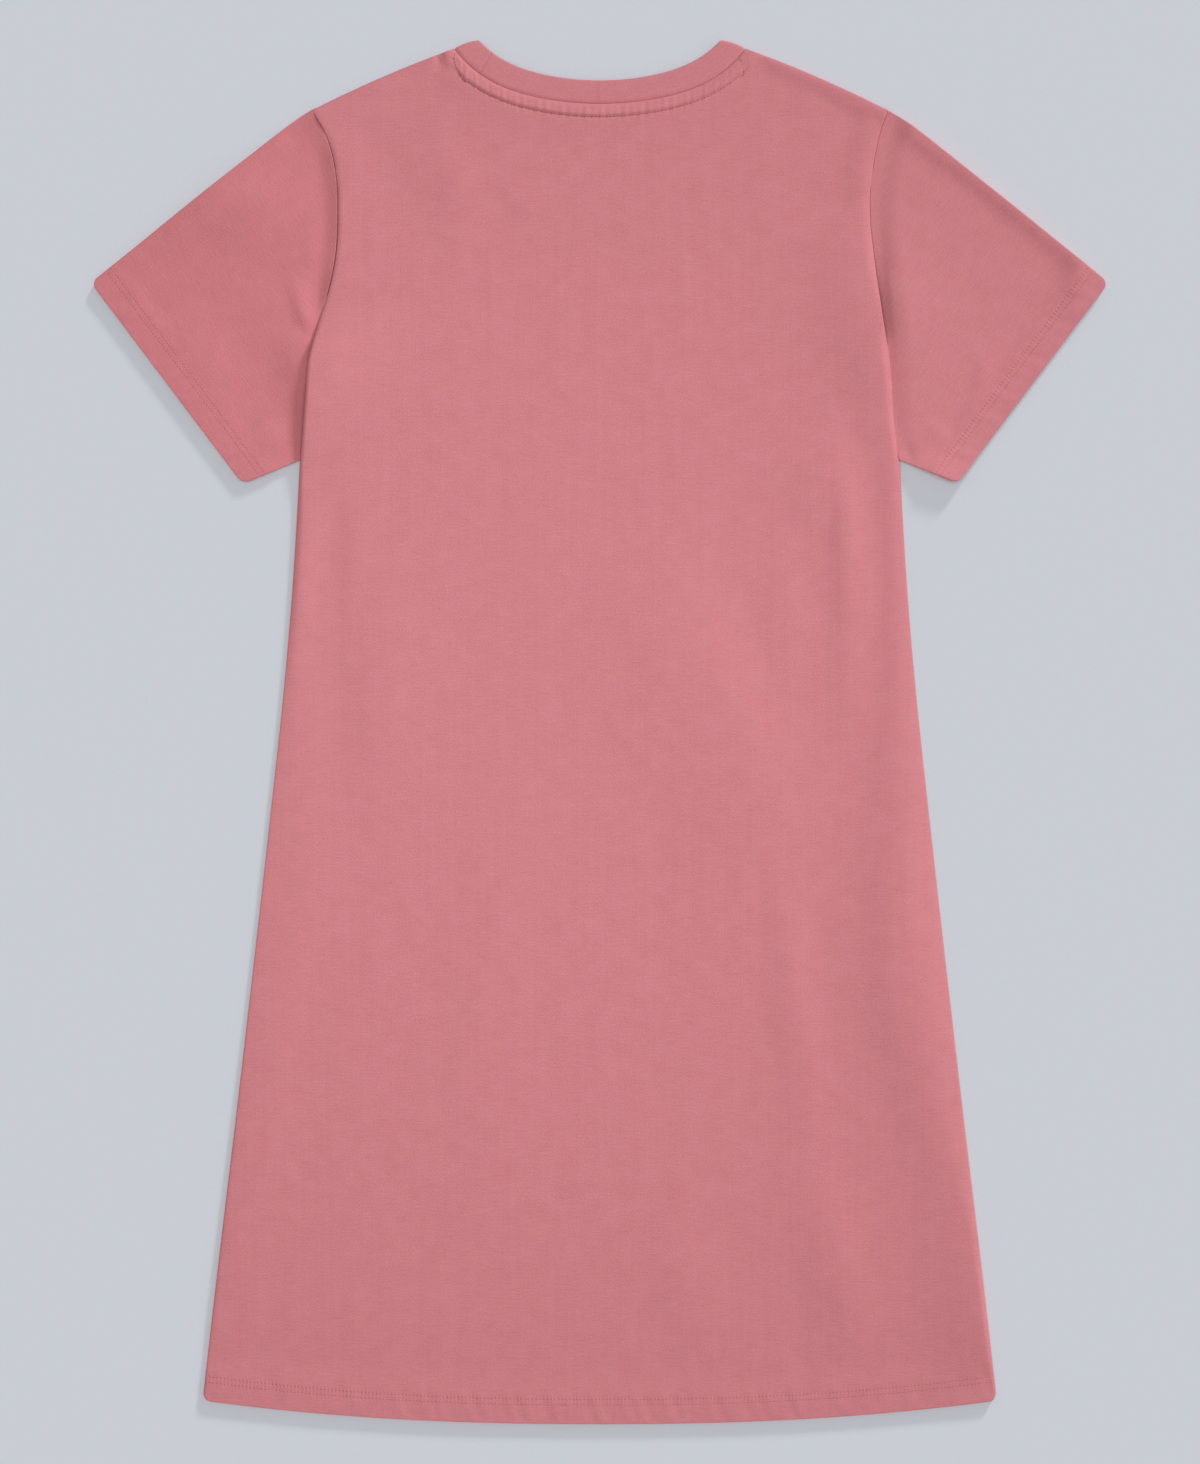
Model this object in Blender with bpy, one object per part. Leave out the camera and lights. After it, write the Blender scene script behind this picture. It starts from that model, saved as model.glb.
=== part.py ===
"""A short-sleeved A-line T-shirt dress in cotton jersey, laid flat with its back side up.

Metres. +X is the wearer's right, +Y points to the neck and +Z is up. The front lies on z = 0, the
back lies on the front, and the origin is under the middle of the dress.
"""

import bmesh
import bpy
import numpy as np

# ---- Driving dimensions, as measured on the flat dress ----
CLOTH = 0.0010  # one layer of jersey
SEAM_GAP = 0.0003  # between pieces that are sewn or lie on each other
TOP_Y = 0.4844  # free edge of the neck band, at the shoulders
HEM_Y = -0.4844  # hem, at its middle
HEM_HALF = 0.2780  # half the sweep of the hem
HEM_RISE = 0.0165  # how much higher the hem is at the side seams
HEM_POWER = 2.3
HEM_DEPTH = 0.0168  # turned up inside
HEM_STEP = 0.0008  # over which the turned-up cloth ends
CORNER_RADIUS = 0.0056  # hem and cuff corners
TIP_HALF = 0.2016  # half the shoulder width
TIP_Y = 0.4354
SHOULDER_BULGE = 0.0019  # of the shoulder seam above a straight line
NECK_HALF = 0.1022  # half the neck, at the band's seam
NECK_CORNER_Y = 0.4784
BAND_HALF = 0.0848  # half the neck, at the band's free edge
UNDERARM_Y = 0.1904
CUFF_LOW = (0.2500, 0.1737)
CUFF_HIGH = (0.3562, 0.3146)
SLEEVE_BULGE = 0.0028  # how far the sleeve's top edge dips towards the shoulder's slope
SLEEVE_BULGE_REACH = 0.010
SIDE_ROLL = 0.0015  # radius of a sewn edge inside the cloth
SLEEVE_ROLL = 0.0008  # the same at the sleeve's folded and sewn edges
SEAM_ROLL = 0.0002  # the same where two edges only meet
EDGE_TAPER = 0.0012  # width over which a hem's edge is rounded
EDGE_BLUNT = 0.3  # share of the thickness left at that edge
JOIN = 0.004  # length along an edge over which it changes from one kind of seam to another

# ---- Heights of the layers above the floor ----
LAY = 2 * CLOTH + 0.0004  # top of the back where it lies straight on the front
HEM_TOP = 4 * CLOTH + SEAM_GAP  # top of a hem or cuff, four layers thick
SEAM_BASE_BACK = 0.00175  # where the back's edge meets the front's in a sewn side
SEAM_BASE_FRONT = SEAM_BASE_BACK - SEAM_GAP
TUCK_TOP = 0.0023  # top of the sleeve where the back lies over it
BAND_LOW = 0.0020  # top of the band's front half
BAND_HIGH = 0.0043  # top of the band's back half
TAPE_LOW = 0.0023
TAPE_HIGH = TAPE_LOW + CLOTH
TAPE_INSET = 0.0008  # from the neck seam to the tape
TAPE_WIDTH = 0.0092
TAPE_HALF = 0.0940

# Neck curves: the height of their lowest point, half width, and the rise of each term.
NECK_NAMES = ("low_y", "half", "round_rise", "corner_rise")
NECKS = {
    "back_seam": (0.4397, NECK_HALF, 0.0238, 0.0149),
    "back_edge": (0.4561, BAND_HALF, 0.0192, 0.0091),
    "front_seam": (0.3871, NECK_HALF, 0.0520, 0.0393),
    "front_edge": (0.4039, BAND_HALF, 0.0470, 0.0335),
}

# Half width of the body along the side seam.
SIDE_NAMES = ("height", "half")
SIDE = (
    (-0.4680, 0.2780),
    (-0.3976, 0.2700),
    (-0.2576, 0.2533),
    (-0.1176, 0.2372),
    (-0.0476, 0.2294),
    (0.0224, 0.2219),
    (0.0924, 0.2158),
    (0.1624, 0.2114),
    (0.1904, 0.2099),
)

# Armholes: half widths of the back at left and right and of the front, and how far the sleeve is
# tucked under the back's edge.
ARMHOLE_NAMES = ("height", "back_left", "back_right", "front", "tuck")
ARMHOLE = (
    (0.1904, 0.2099, 0.2097, 0.2099, 0.0000),
    (0.2050, 0.2086, 0.2077, 0.2057, 0.0020),
    (0.2220, 0.2073, 0.2056, 0.2016, 0.0050),
    (0.2420, 0.2058, 0.2048, 0.1968, 0.0070),
    (0.2620, 0.2040, 0.2030, 0.1920, -0.0003),
    (0.2830, 0.1984, 0.1990, 0.1868, -0.0003),
    (0.3070, 0.1904, 0.1955, 0.1822, -0.0003),
    (0.3330, 0.1850, 0.1921, 0.1798, -0.0003),
    (0.3600, 0.1835, 0.1893, 0.1797, -0.0003),
    (0.3860, 0.1843, 0.1899, 0.1815, -0.0003),
    (0.4075, 0.1882, 0.1935, 0.1862, -0.0003),
    (0.4202, 0.1928, 0.1964, 0.1917, -0.0003),
    (0.4354, 0.2016, 0.2016, 0.2016, -0.0003),
)

# How the back's side edge lies: its lift above LAY, the height it rolls down to, and how far in
# the lift is full and then gone.
EDGE_NAMES = ("height", "lift", "base", "full_to", "gone_by")
EDGES = (
    (-0.4680, 0.0009, HEM_TOP - 2 * CLOTH, 0.003, 0.018),
    (-0.4500, 0.0009, HEM_TOP - 2 * CLOTH, 0.003, 0.018),
    (-0.4300, 0.0009, SEAM_BASE_BACK, 0.003, 0.018),
    (0.1600, 0.0009, SEAM_BASE_BACK, 0.003, 0.018),
    (0.1840, 0.0015, TUCK_TOP + 0.00035, 0.009, 0.026),
    (0.2620, 0.0015, TUCK_TOP + 0.00035, 0.009, 0.026),
    (0.2830, 0.0006, LAY + 0.0006 - CLOTH, 0.004, 0.022),
    (0.4202, 0.0006, LAY + 0.0006 - CLOTH, 0.004, 0.022),
    (0.4354, 0.0010, SEAM_BASE_BACK, 0.004, 0.022),
)

# Lift of the back round the neck, by distance from the band's seam: tape, topstitch, front band.
NECK_LIFT_NAMES = ("distance", "lift")
NECK_LIFT = (
    (0.0000, 0.0022),
    (0.0045, 0.0026),
    (0.0092, 0.0022),
    (0.0120, 0.0022),
    (0.0450, 0.0011),
    (0.0650, 0.0010),
    (0.1100, 0.0000),
)

# How far the back's other lifts reach, from where they are full to where they are gone.
SHOULDER_LIFT = 0.0010
SHOULDER_REACH = (0.003, 0.018)
SHOULDER_START = (NECK_HALF, NECK_HALF + 0.020)
HEM_FADE = (HEM_DEPTH + HEM_STEP, 0.038)
HEM_FLATTENS = 0.7  # share of the folds that the hem presses flat
FOLDS_NEAR_NECK = (0.040, 0.110)

# How a sleeve lies: lift at its visible seam, at its folded top edge, and over the cuff.
SLEEVE_SEEN = (0.262, 0.283)  # heights between which the sleeve comes out from under the back
SLEEVE_LIFT = 0.0006
SLEEVE_SEAM_REACH = (0.004, 0.020)
SLEEVE_FREE = (0.002, 0.018)
SLEEVE_FREE_LIFT = 0.0001
SLEEVE_FOLD_REACH = (0.004, 0.030)
SLEEVE_TOP_SHARE = (0.90, 1.00)
CUFF_FADE = (HEM_DEPTH + HEM_STEP, 0.030)
CUFF_FLATTENS = 0.8

# Soft folds, one to a row: x and y at the two ends of the crest, its half width and its height.
BACK_FOLDS = (
    (0.010, 0.127, 0.109, -0.048, 0.024, 0.0013),
    (0.109, -0.048, 0.118, -0.153, 0.022, 0.0016),
    (0.118, -0.153, 0.143, -0.293, 0.024, 0.0011),
    (0.171, 0.204, 0.171, 0.008, 0.014, 0.0010),
    (0.126, 0.176, 0.133, 0.022, 0.014, 0.0009),
    (0.213, -0.010, 0.260, -0.419, 0.012, 0.0010),
    (-0.168, 0.211, -0.166, 0.022, 0.016, 0.0008),
    (-0.060, 0.060, -0.105, -0.330, 0.040, 0.0007),
    (-0.205, -0.120, -0.228, -0.390, 0.016, 0.0007),
    (0.020, -0.190, 0.030, -0.430, 0.036, 0.0006),
)
FOLD_END_SHARPNESS = 0.3  # below 1, a fold fades out over more than its half width
LEFT_SLEEVE_FOLDS = (
    (-0.232, 0.330, -0.214, 0.232, 0.010, 0.0009),
    (-0.262, 0.350, -0.300, 0.290, 0.016, 0.0006),
)
RIGHT_SLEEVE_FOLDS = (
    (0.215, 0.398, 0.318, 0.316, 0.012, 0.0010),
    (0.232, 0.335, 0.226, 0.225, 0.012, 0.0008),
)

# ---- Mesh steps ----
ROLL_ANGLES = (0.0, 45.0, 90.0)
BODY_SHARES = (0.030, 0.070, 0.115, 0.160, 0.205)  # of the width, from the side to the neck corner
FRONT_SHARES = (0.060, 0.155)
NECK_SHARES = (1.0, 0.955, 0.88, 0.77, 0.62, 0.42, 0.21, 0.0)  # of half the neck
HEM_INSETS = (0.0, 0.0004, EDGE_TAPER, 0.003, CORNER_RADIUS, HEM_DEPTH, HEM_DEPTH + HEM_STEP)
BACK_INSETS = HEM_INSETS + (0.027, 0.040)
BACK_TOP_INSETS = (0.0160, 0.0130, 0.0105, 0.0088, 0.0050)  # from the neck and shoulder edge
SLEEVE_INSETS = HEM_INSETS + (0.0290,)
SLEEVE_STEPS = 4
BACK_ROW_STEP = 0.030
FRONT_ROW_STEP = 0.070
BAND_SHARES = NECK_SHARES[:0:-1] + (0.975,)
NECK_SAMPLES = 61
PROBE = 0.0005  # step for measuring a slope
STEEPEST = 1.5  # slope of the neck beyond which rows stop spreading

JERSEY = (0.59, 0.21, 0.235, 1.0)
JERSEY_ROUGHNESS = 0.9


# ---- Curves and tables ----


def column(table, names, name):
    return np.array([row[names.index(name)] for row in table])


def ease(low, high, value):
    """Rises smoothly from 0 at low to 1 at high."""
    share = np.clip((value - low) / (high - low), 0.0, 1.0)
    return share * share * (3.0 - 2.0 * share)


def smooth_read(knots, values, at):
    """A value read on the cubic that passes through the knots with central slopes."""
    slopes = np.gradient(values, knots)
    at = np.clip(at, knots[0], knots[-1])
    place = np.clip(np.searchsorted(knots, at) - 1, 0, len(knots) - 2)
    step = knots[place + 1] - knots[place]
    t = (at - knots[place]) / step
    ends = values[place] * (1 + 2 * t) * (1 - t) ** 2 + values[place + 1] * t * t * (3 - 2 * t)
    bends = slopes[place] * t * (1 - t) ** 2 - slopes[place + 1] * t * t * (1 - t)
    return ends + step * bends


def neck_height(name, x):
    """Height of a neck curve at x."""
    low_y, half, round_rise, corner_rise = NECKS[name]
    share = np.minimum(np.abs(x) / half, 1.0)
    return low_y + round_rise * share**2 + corner_rise * share**6


def top_height(neck, x):
    """Upper edge of a panel at x: its neck curve, then the shoulder."""
    out = (np.abs(x) - NECK_HALF) / (TIP_HALF - NECK_HALF)
    shoulder = NECK_CORNER_Y + out * (TIP_Y - NECK_CORNER_Y) + 4 * SHOULDER_BULGE * out * (1 - out)
    return np.where(np.abs(x) < NECK_HALF, neck_height(neck, x), shoulder)


def hem_height(x):
    return HEM_Y + HEM_RISE * (np.abs(x) / HEM_HALF) ** HEM_POWER


HEM_CORNER_Y = float(hem_height(HEM_HALF))


def edge_half(y, armhole_name):
    """Half width of a panel at height y: the side seam, then the armhole."""
    heights = column(ARMHOLE, ARMHOLE_NAMES, "height")
    armhole = np.interp(y, heights, column(ARMHOLE, ARMHOLE_NAMES, armhole_name))
    side = smooth_read(
        column(SIDE, SIDE_NAMES, "height"), column(SIDE, SIDE_NAMES, "half"), y
    )
    return np.where(y >= UNDERARM_Y, armhole, side)


def edge_form(name, y):
    return np.interp(y, column(EDGES, EDGE_NAMES, "height"), column(EDGES, EDGE_NAMES, name))


NECK_X = np.linspace(-NECK_HALF, NECK_HALF, NECK_SAMPLES)
NECK_LINE = np.column_stack([NECK_X, neck_height("back_seam", NECK_X)])


def neck_distance(x, y):
    """Distance from the seam of the back neck."""
    away = np.hypot(x[..., None] - NECK_LINE[:, 0], y[..., None] - NECK_LINE[:, 1])
    return away.min(axis=-1)


def folds(x, y, table):
    """Height that the soft folds add at a point."""
    total = np.zeros_like(x)
    for x1, y1, x2, y2, width, height in table:
        along = np.array([x2 - x1, y2 - y1])
        length = np.hypot(*along)
        along = along / length
        run = (x - x1) * along[0] + (y - y1) * along[1]
        off = (x - x1) * along[1] - (y - y1) * along[0]
        past = np.maximum(np.maximum(-run, run - length), 0.0)
        away = off**2 + FOLD_END_SHARPNESS * past**2
        total = np.maximum(total, height * np.exp(-away / width**2))
    return total


def thickness(hem_gap):
    """One layer of cloth, or two inside the turned-up hem."""
    return CLOTH * (2.0 - ease(HEM_DEPTH, HEM_DEPTH + HEM_STEP, hem_gap))


# ---- Panels ----


class Panel:
    """The flat outline of a body panel, read by shares u across and v from the hem to the top."""

    def __init__(self, neck, left, right):
        self.neck = neck
        self.left = left
        self.right = right

    def edges(self, v):
        y = HEM_CORNER_Y + v * (TIP_Y - HEM_CORNER_Y)
        return -edge_half(y, self.left), edge_half(y, self.right), y

    def limits(self, u):
        """Hem height and top height along a column."""
        return hem_height((2 * u - 1) * HEM_HALF), top_height(self.neck, (2 * u - 1) * TIP_HALF)

    def point(self, u, v):
        left, right, _ = self.edges(v)
        hem, top = self.limits(u)
        return left + u * (right - left), hem + v * (top - hem)

    def top_speed(self, u):
        """How fast v leaves the top edge, measured square to that edge."""
        hem, top = self.limits(u)
        side = np.where(u < 0.5, 1.0, -1.0)
        inner = top_height(self.neck, (2 * u - 1) * TIP_HALF + side * PROBE)
        slope = np.minimum(np.abs(inner - top) / PROBE, STEEPEST)
        return (top - hem) / np.hypot(1.0, slope)


def rounded(side_gap, end_gap):
    """Moves a point near a corner so that the corner becomes a quarter circle."""
    near = (side_gap < CORNER_RADIUS) & (end_gap < CORNER_RADIUS)
    a = 1 - np.minimum(side_gap, CORNER_RADIUS) / CORNER_RADIUS
    b = 1 - np.minimum(end_gap, CORNER_RADIUS) / CORNER_RADIUS
    new_side = CORNER_RADIUS * (1 - a * np.sqrt(1 - b * b / 2))
    new_end = CORNER_RADIUS * (1 - b * np.sqrt(1 - a * a / 2))
    return np.where(near, new_side, side_gap), np.where(near, new_end, end_gap)


def across_columns(shares, neck_shares):
    """Column kinds from left to right: ("roll", side, angle) or ("share", u, None)."""
    neck_share = NECK_HALF / TIP_HALF / 2
    half = [("roll", 0, angle) for angle in ROLL_ANGLES]
    half += [("share", share, None) for share in shares]
    half += [("share", 0.5 - neck_share * share, None) for share in neck_shares]
    mirrored = [
        ("roll", 1, value[2]) if value[0] == "roll" else ("share", 1 - value[1], None)
        for value in reversed(half[:-1])
    ]
    return half + mirrored


def up_rows(hem_insets, row_step, top_insets):
    """Row kinds from hem to top: ("hem", gap), ("level", v), ("top", gap) or ("roll", angle)."""
    span = TIP_Y - HEM_CORNER_Y
    first = HEM_CORNER_Y + hem_insets[-1] + row_step / 2
    count = max(2, round((UNDERARM_Y - first) / row_step))
    levels = list(np.linspace(first, UNDERARM_Y, count + 1))
    levels += [row[0] for row in ARMHOLE[1:-1]]
    rows = [("hem", gap) for gap in hem_insets]
    last = len(levels) - 1 if top_insets else len(levels)
    rows += [("level", (y - HEM_CORNER_Y) / span) for y in levels[:last]]
    rows += [("top", gap) for gap in top_insets]
    rows += [("roll", angle) for angle in reversed(ROLL_ANGLES)]
    return rows


def on_neck(x):
    """Whether a top edge at x is the neck's and not the shoulder's."""
    return np.abs(x) < NECK_HALF - PROBE


def sewn_side(edge_y):
    """Whether an edge at this height is the side seam and not the armhole."""
    return edge_y < UNDERARM_Y - JOIN


def rolled(roll, cloth, angle, outer):
    """Inset of a rolled edge's outer or inner surface at an angle up from the edge."""
    turn = np.cos(np.radians(angle))
    if outer:
        return (roll + cloth) * (1 - turn)
    return roll + cloth - roll * turn


def panel_surface(panel, columns, rows, outer):
    """Points of one surface of a panel, with what its height depends on."""
    size = (len(rows), len(columns))
    grid = {
        name: np.zeros(size)
        for name in ("x", "y", "edge_y", "side_gap", "top_gap", "hem_gap", "rise")
    }
    for j, (row_kind, row_value) in enumerate(rows):
        for i, (kind, where, angle) in enumerate(columns):
            u = where if kind == "share" else float(where)
            hem, top = (float(value) for value in panel.limits(np.array(u)))
            speed = float(panel.top_speed(np.array(u)))
            top_roll = SEAM_ROLL if on_neck((2 * u - 1) * TIP_HALF) else SIDE_ROLL
            row_sine = 1.0
            if row_kind == "hem":
                v = row_value / (top - hem)
            elif row_kind == "level":
                v = row_value
            elif row_kind == "top":
                v = 1 - row_value / speed
            else:
                v = 1 - rolled(top_roll, CLOTH, row_value, outer) / speed
                row_sine = np.sin(np.radians(row_value))
            hem_gap = v * (top - hem)
            left, right, edge_y = (float(value) for value in panel.edges(np.array(v)))
            width = right - left
            column_sine = 1.0
            if kind == "roll":
                side_roll = SIDE_ROLL if sewn_side(edge_y) else SEAM_ROLL
                side_gap = rolled(side_roll, float(thickness(hem_gap)), angle, outer)
                column_sine = np.sin(np.radians(angle))
            else:
                side_gap = min(u, 1 - u) * width
            new_side, new_hem = rounded(np.array(side_gap), np.array(hem_gap))
            u = new_side / width if u < 0.5 else 1 - new_side / width
            v = float(new_hem) / (top - hem) if row_kind == "hem" else v
            x, y = panel.point(np.array(float(u)), np.array(v))
            values = (x, y, edge_y, side_gap, (1 - v) * speed, hem_gap, row_sine * column_sine)
            for name, value in zip(grid, values):
                grid[name][j, i] = value
    return grid


def blunted(top, bottom, hem_gap):
    """Brings the two surfaces together at a hem's folded edge."""
    share = EDGE_BLUNT + (1 - EDGE_BLUNT) * np.sqrt(
        1 - (1 - np.minimum(hem_gap, EDGE_TAPER) / EDGE_TAPER) ** 2
    )
    middle = (top + bottom) / 2
    return middle + (top - middle) * share, middle + (bottom - middle) * share


def back_top(grid):
    """Height of the back's outer surface before its edges roll down."""
    x, y, edge_y, side_gap = (grid[name] for name in ("x", "y", "edge_y", "side_gap"))
    full_to = edge_form("full_to", edge_y)
    gone_by = edge_form("gone_by", edge_y)
    side = edge_form("lift", edge_y) * (1 - ease(full_to, gone_by, side_gap))
    distance = neck_distance(x, y)
    neck = smooth_read(
        column(NECK_LIFT, NECK_LIFT_NAMES, "distance"),
        column(NECK_LIFT, NECK_LIFT_NAMES, "lift"),
        distance,
    )
    on_shoulder = ease(*SHOULDER_START, np.abs(x))
    shoulder = SHOULDER_LIFT * on_shoulder * (1 - ease(*SHOULDER_REACH, grid["top_gap"]))
    soft = folds(x, y, BACK_FOLDS) * ease(*FOLDS_NEAR_NECK, distance)
    in_hem = 1 - ease(*HEM_FADE, grid["hem_gap"])
    lift = np.maximum(np.maximum(side, neck), shoulder) + soft
    return LAY + lift * (1 - HEM_FLATTENS * in_hem) + (HEM_TOP - LAY) * in_hem


def back_heights(outer, inner, columns):
    """Heights of the back's upper and lower surfaces."""
    heights = []
    for grid, is_outer in ((outer, True), (inner, False)):
        full = back_top(grid)
        cloth = 0.0 if is_outer else thickness(grid["hem_gap"])
        base = edge_form("base", grid["edge_y"])
        top_base = np.where(on_neck(grid["x"]), full - CLOTH, SEAM_BASE_BACK)
        is_roll = np.array([kind == "roll" for kind, _, _ in columns])
        base = np.where(is_roll[None, :], base, top_base)
        heights.append(base + (full - cloth - base) * grid["rise"])
    return blunted(heights[0], heights[1], outer["hem_gap"])


def front_heights(outer, inner, columns):
    """Heights of the front's lower surface, which rests on the floor, and its upper surface."""
    heights = []
    for grid, is_outer in ((outer, True), (inner, False)):
        cloth = thickness(grid["hem_gap"])
        sewn = sewn_side(grid["edge_y"]) & (grid["hem_gap"] > HEM_DEPTH)
        at_tip = grid["edge_y"] > TIP_Y - JOIN
        side_base = np.where(sewn | at_tip, SEAM_BASE_FRONT, cloth)
        top_base = np.where(on_neck(grid["x"]), cloth, SEAM_BASE_FRONT)
        is_roll = np.array([kind == "roll" for kind, _, _ in columns])
        base = np.where(is_roll[None, :], side_base, top_base)
        full = 0.0 if is_outer else cloth
        heights.append(base + (full - base) * grid["rise"])
    low, high = heights
    high, low = blunted(high, low, outer["hem_gap"])
    return low, high


def stacked(grid, height):
    return np.stack([grid["x"], grid["y"], height], axis=-1)


# ---- Closed shells ----


def wind(grid, closed_across):
    """Quads of a grid of vertices, row by row."""
    rows, columns = grid.shape
    last = columns if closed_across else columns - 1
    for j in range(rows - 1):
        for i in range(last):
            k = (i + 1) % columns
            yield grid[j, i], grid[j, k], grid[j + 1, k], grid[j + 1, i]


def shell(name, upper, lower, closed_across=False):
    """One closed body between two surfaces with the same grid, facing out."""
    mesh = bmesh.new()
    sheets = []
    for points in (upper, lower):
        verts = [mesh.verts.new(point) for point in points.reshape(-1, 3)]
        sheets.append(np.array(verts, dtype=object).reshape(points.shape[:2]))
    top, bottom = sheets
    for quad in wind(top, closed_across):
        mesh.faces.new(quad)
    for quad in wind(bottom, closed_across):
        mesh.faces.new(quad[::-1])
    walls = [(bottom[0], top[0]), (top[-1], bottom[-1])]
    if not closed_across:
        walls += [(top[:, 0], bottom[:, 0]), (bottom[:, -1], top[:, -1])]
    for first, second in walls:
        for quad in wind(np.stack([first, second]), closed_across):
            mesh.faces.new(quad)
    return finished(name, mesh)


def finished(name, mesh):
    """An object from the mesh, with its faces turned outwards and its own material."""
    bmesh.ops.recalc_face_normals(mesh, faces=mesh.faces)
    if mesh.calc_volume(signed=True) < 0:
        bmesh.ops.reverse_faces(mesh, faces=mesh.faces)
    data = bpy.data.meshes.new(name)
    mesh.to_mesh(data)
    mesh.free()
    data.shade_smooth()
    data.materials.append(jersey(name))
    obj = bpy.data.objects.new(name, data)
    bpy.context.scene.collection.objects.link(obj)
    return obj


def jersey(name):
    material = bpy.data.materials.new(name)
    material.use_nodes = True
    shader = material.node_tree.nodes["Principled BSDF"]
    shader.inputs["Base Color"].default_value = JERSEY
    shader.inputs["Roughness"].default_value = JERSEY_ROUGHNESS
    shader.inputs["Metallic"].default_value = 0.0
    return material


def make_back():
    panel = Panel("back_seam", "back_left", "back_right")
    columns = across_columns(BODY_SHARES, NECK_SHARES)
    rows = up_rows(BACK_INSETS, BACK_ROW_STEP, BACK_TOP_INSETS)
    outer = panel_surface(panel, columns, rows, outer=True)
    inner = panel_surface(panel, columns, rows, outer=False)
    high, low = back_heights(outer, inner, columns)
    return shell("back_panel", stacked(outer, high), stacked(inner, low))


def make_front():
    panel = Panel("front_seam", "front", "front")
    columns = across_columns(FRONT_SHARES, NECK_SHARES)
    rows = up_rows(HEM_INSETS, FRONT_ROW_STEP, ())
    outer = panel_surface(panel, columns, rows, outer=True)
    inner = panel_surface(panel, columns, rows, outer=False)
    low, high = front_heights(outer, inner, columns)
    return shell("front_panel", stacked(inner, high), stacked(outer, low))


# ---- Sleeves ----


def sleeve_columns():
    """Places round the flattened sleeve: (layer, share of the armhole, roll angle or None)."""
    heights = column(ARMHOLE, ARMHOLE_NAMES, "height")
    shares = (heights[1:-1] - UNDERARM_Y) / (TIP_Y - UNDERARM_Y)
    places = [("upper", 0.0, angle) for angle in ROLL_ANGLES]
    places += [("upper", share, None) for share in shares]
    places += [("upper", 1.0, angle) for angle in reversed(ROLL_ANGLES)]
    places += [("lower", 1.0, angle) for angle in ROLL_ANGLES[1:]]
    places += [("lower", share, None) for share in shares[::-1]]
    places += [("lower", 0.0, angle) for angle in reversed(ROLL_ANGLES[1:])]
    return places


class Sleeve:
    """The flat outline of one layer of a sleeve, drawn on the +X side."""

    def __init__(self, back_name):
        self.back_name = back_name

    def armhole(self, layer, w):
        y = UNDERARM_Y + w * (TIP_Y - UNDERARM_Y)
        heights = column(ARMHOLE, ARMHOLE_NAMES, "height")
        if layer == "lower":
            front = np.interp(y, heights, column(ARMHOLE, ARMHOLE_NAMES, "front"))
            return front + SEAM_GAP, y
        edge = np.interp(y, heights, column(ARMHOLE, ARMHOLE_NAMES, self.back_name))
        tuck = np.interp(y, heights, column(ARMHOLE, ARMHOLE_NAMES, "tuck"))
        return edge - tuck, y

    def top_edge(self, along):
        """Folded top edge from the cuff, at 0, to the shoulder tip, at 1."""
        tip_x = TIP_HALF + SEAM_GAP
        x = CUFF_HIGH[0] + along * (tip_x - CUFF_HIGH[0])
        y = CUFF_HIGH[1] + along * (TIP_Y + SLEEVE_BULGE - CUFF_HIGH[1])
        return x, y - SLEEVE_BULGE * np.exp(-(x - tip_x) / SLEEVE_BULGE_REACH)

    def point(self, layer, w, along):
        arm = self.armhole(layer, w)
        arm_low = self.armhole(layer, 0.0)
        arm_high = self.armhole(layer, 1.0)
        edge = self.top_edge(along)
        result = []
        for k in (0, 1):
            cuff = CUFF_LOW[k] + w * (CUFF_HIGH[k] - CUFF_LOW[k])
            low = CUFF_LOW[k] + along * (arm_low[k] - CUFF_LOW[k])
            ends = (1 - along) * cuff + along * arm[k]
            sides = (1 - w) * low + w * edge[k]
            corners = (1 - along) * cuff + along * ((1 - w) * arm_low[k] + w * arm_high[k])
            result.append(ends + sides - corners)
        return result

    def spans(self, layer, w, along):
        """Length from cuff to armhole at w, and width across at this distance along."""
        start = self.point(layer, w, 0.0)
        end = self.point(layer, w, 1.0)
        low = self.point(layer, 0.0, along)
        high = self.point(layer, 1.0, along)
        length = np.hypot(end[0] - start[0], end[1] - start[1])
        width = np.hypot(high[0] - low[0], high[1] - low[1])
        return length, width


def sleeve_rows():
    """Row kinds from cuff to armhole: ("cuff", gap), ("share", value) or ("roll", angle)."""
    rows = [("cuff", gap) for gap in SLEEVE_INSETS]
    rows += [("share", k / SLEEVE_STEPS) for k in range(1, SLEEVE_STEPS)]
    rows += [("roll", angle) for angle in reversed(ROLL_ANGLES)]
    return rows


def sleeve_height(x, y, side, w, layer_y, cuff_gap, arm_gap, table):
    """Height of the sleeve's outer upper surface before its edges roll down."""
    seen = ease(*SLEEVE_SEEN, layer_y)
    at_seam = SLEEVE_LIFT * seen * (1 - ease(*SLEEVE_SEAM_REACH, arm_gap))
    free = np.maximum(seen, ease(*SLEEVE_FREE, arm_gap))
    soft = folds(side * x, y, table) * ease(*SLEEVE_FOLD_REACH, arm_gap)
    along_fold = SLEEVE_LIFT * ease(*SLEEVE_TOP_SHARE, w) * ease(*SLEEVE_FOLD_REACH, arm_gap)
    in_cuff = 1 - ease(*CUFF_FADE, cuff_gap)
    lying = TUCK_TOP + SLEEVE_FREE_LIFT * free
    lift = at_seam + soft + along_fold
    return lying + lift * (1 - CUFF_FLATTENS * in_cuff) + (HEM_TOP - lying) * in_cuff


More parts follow.
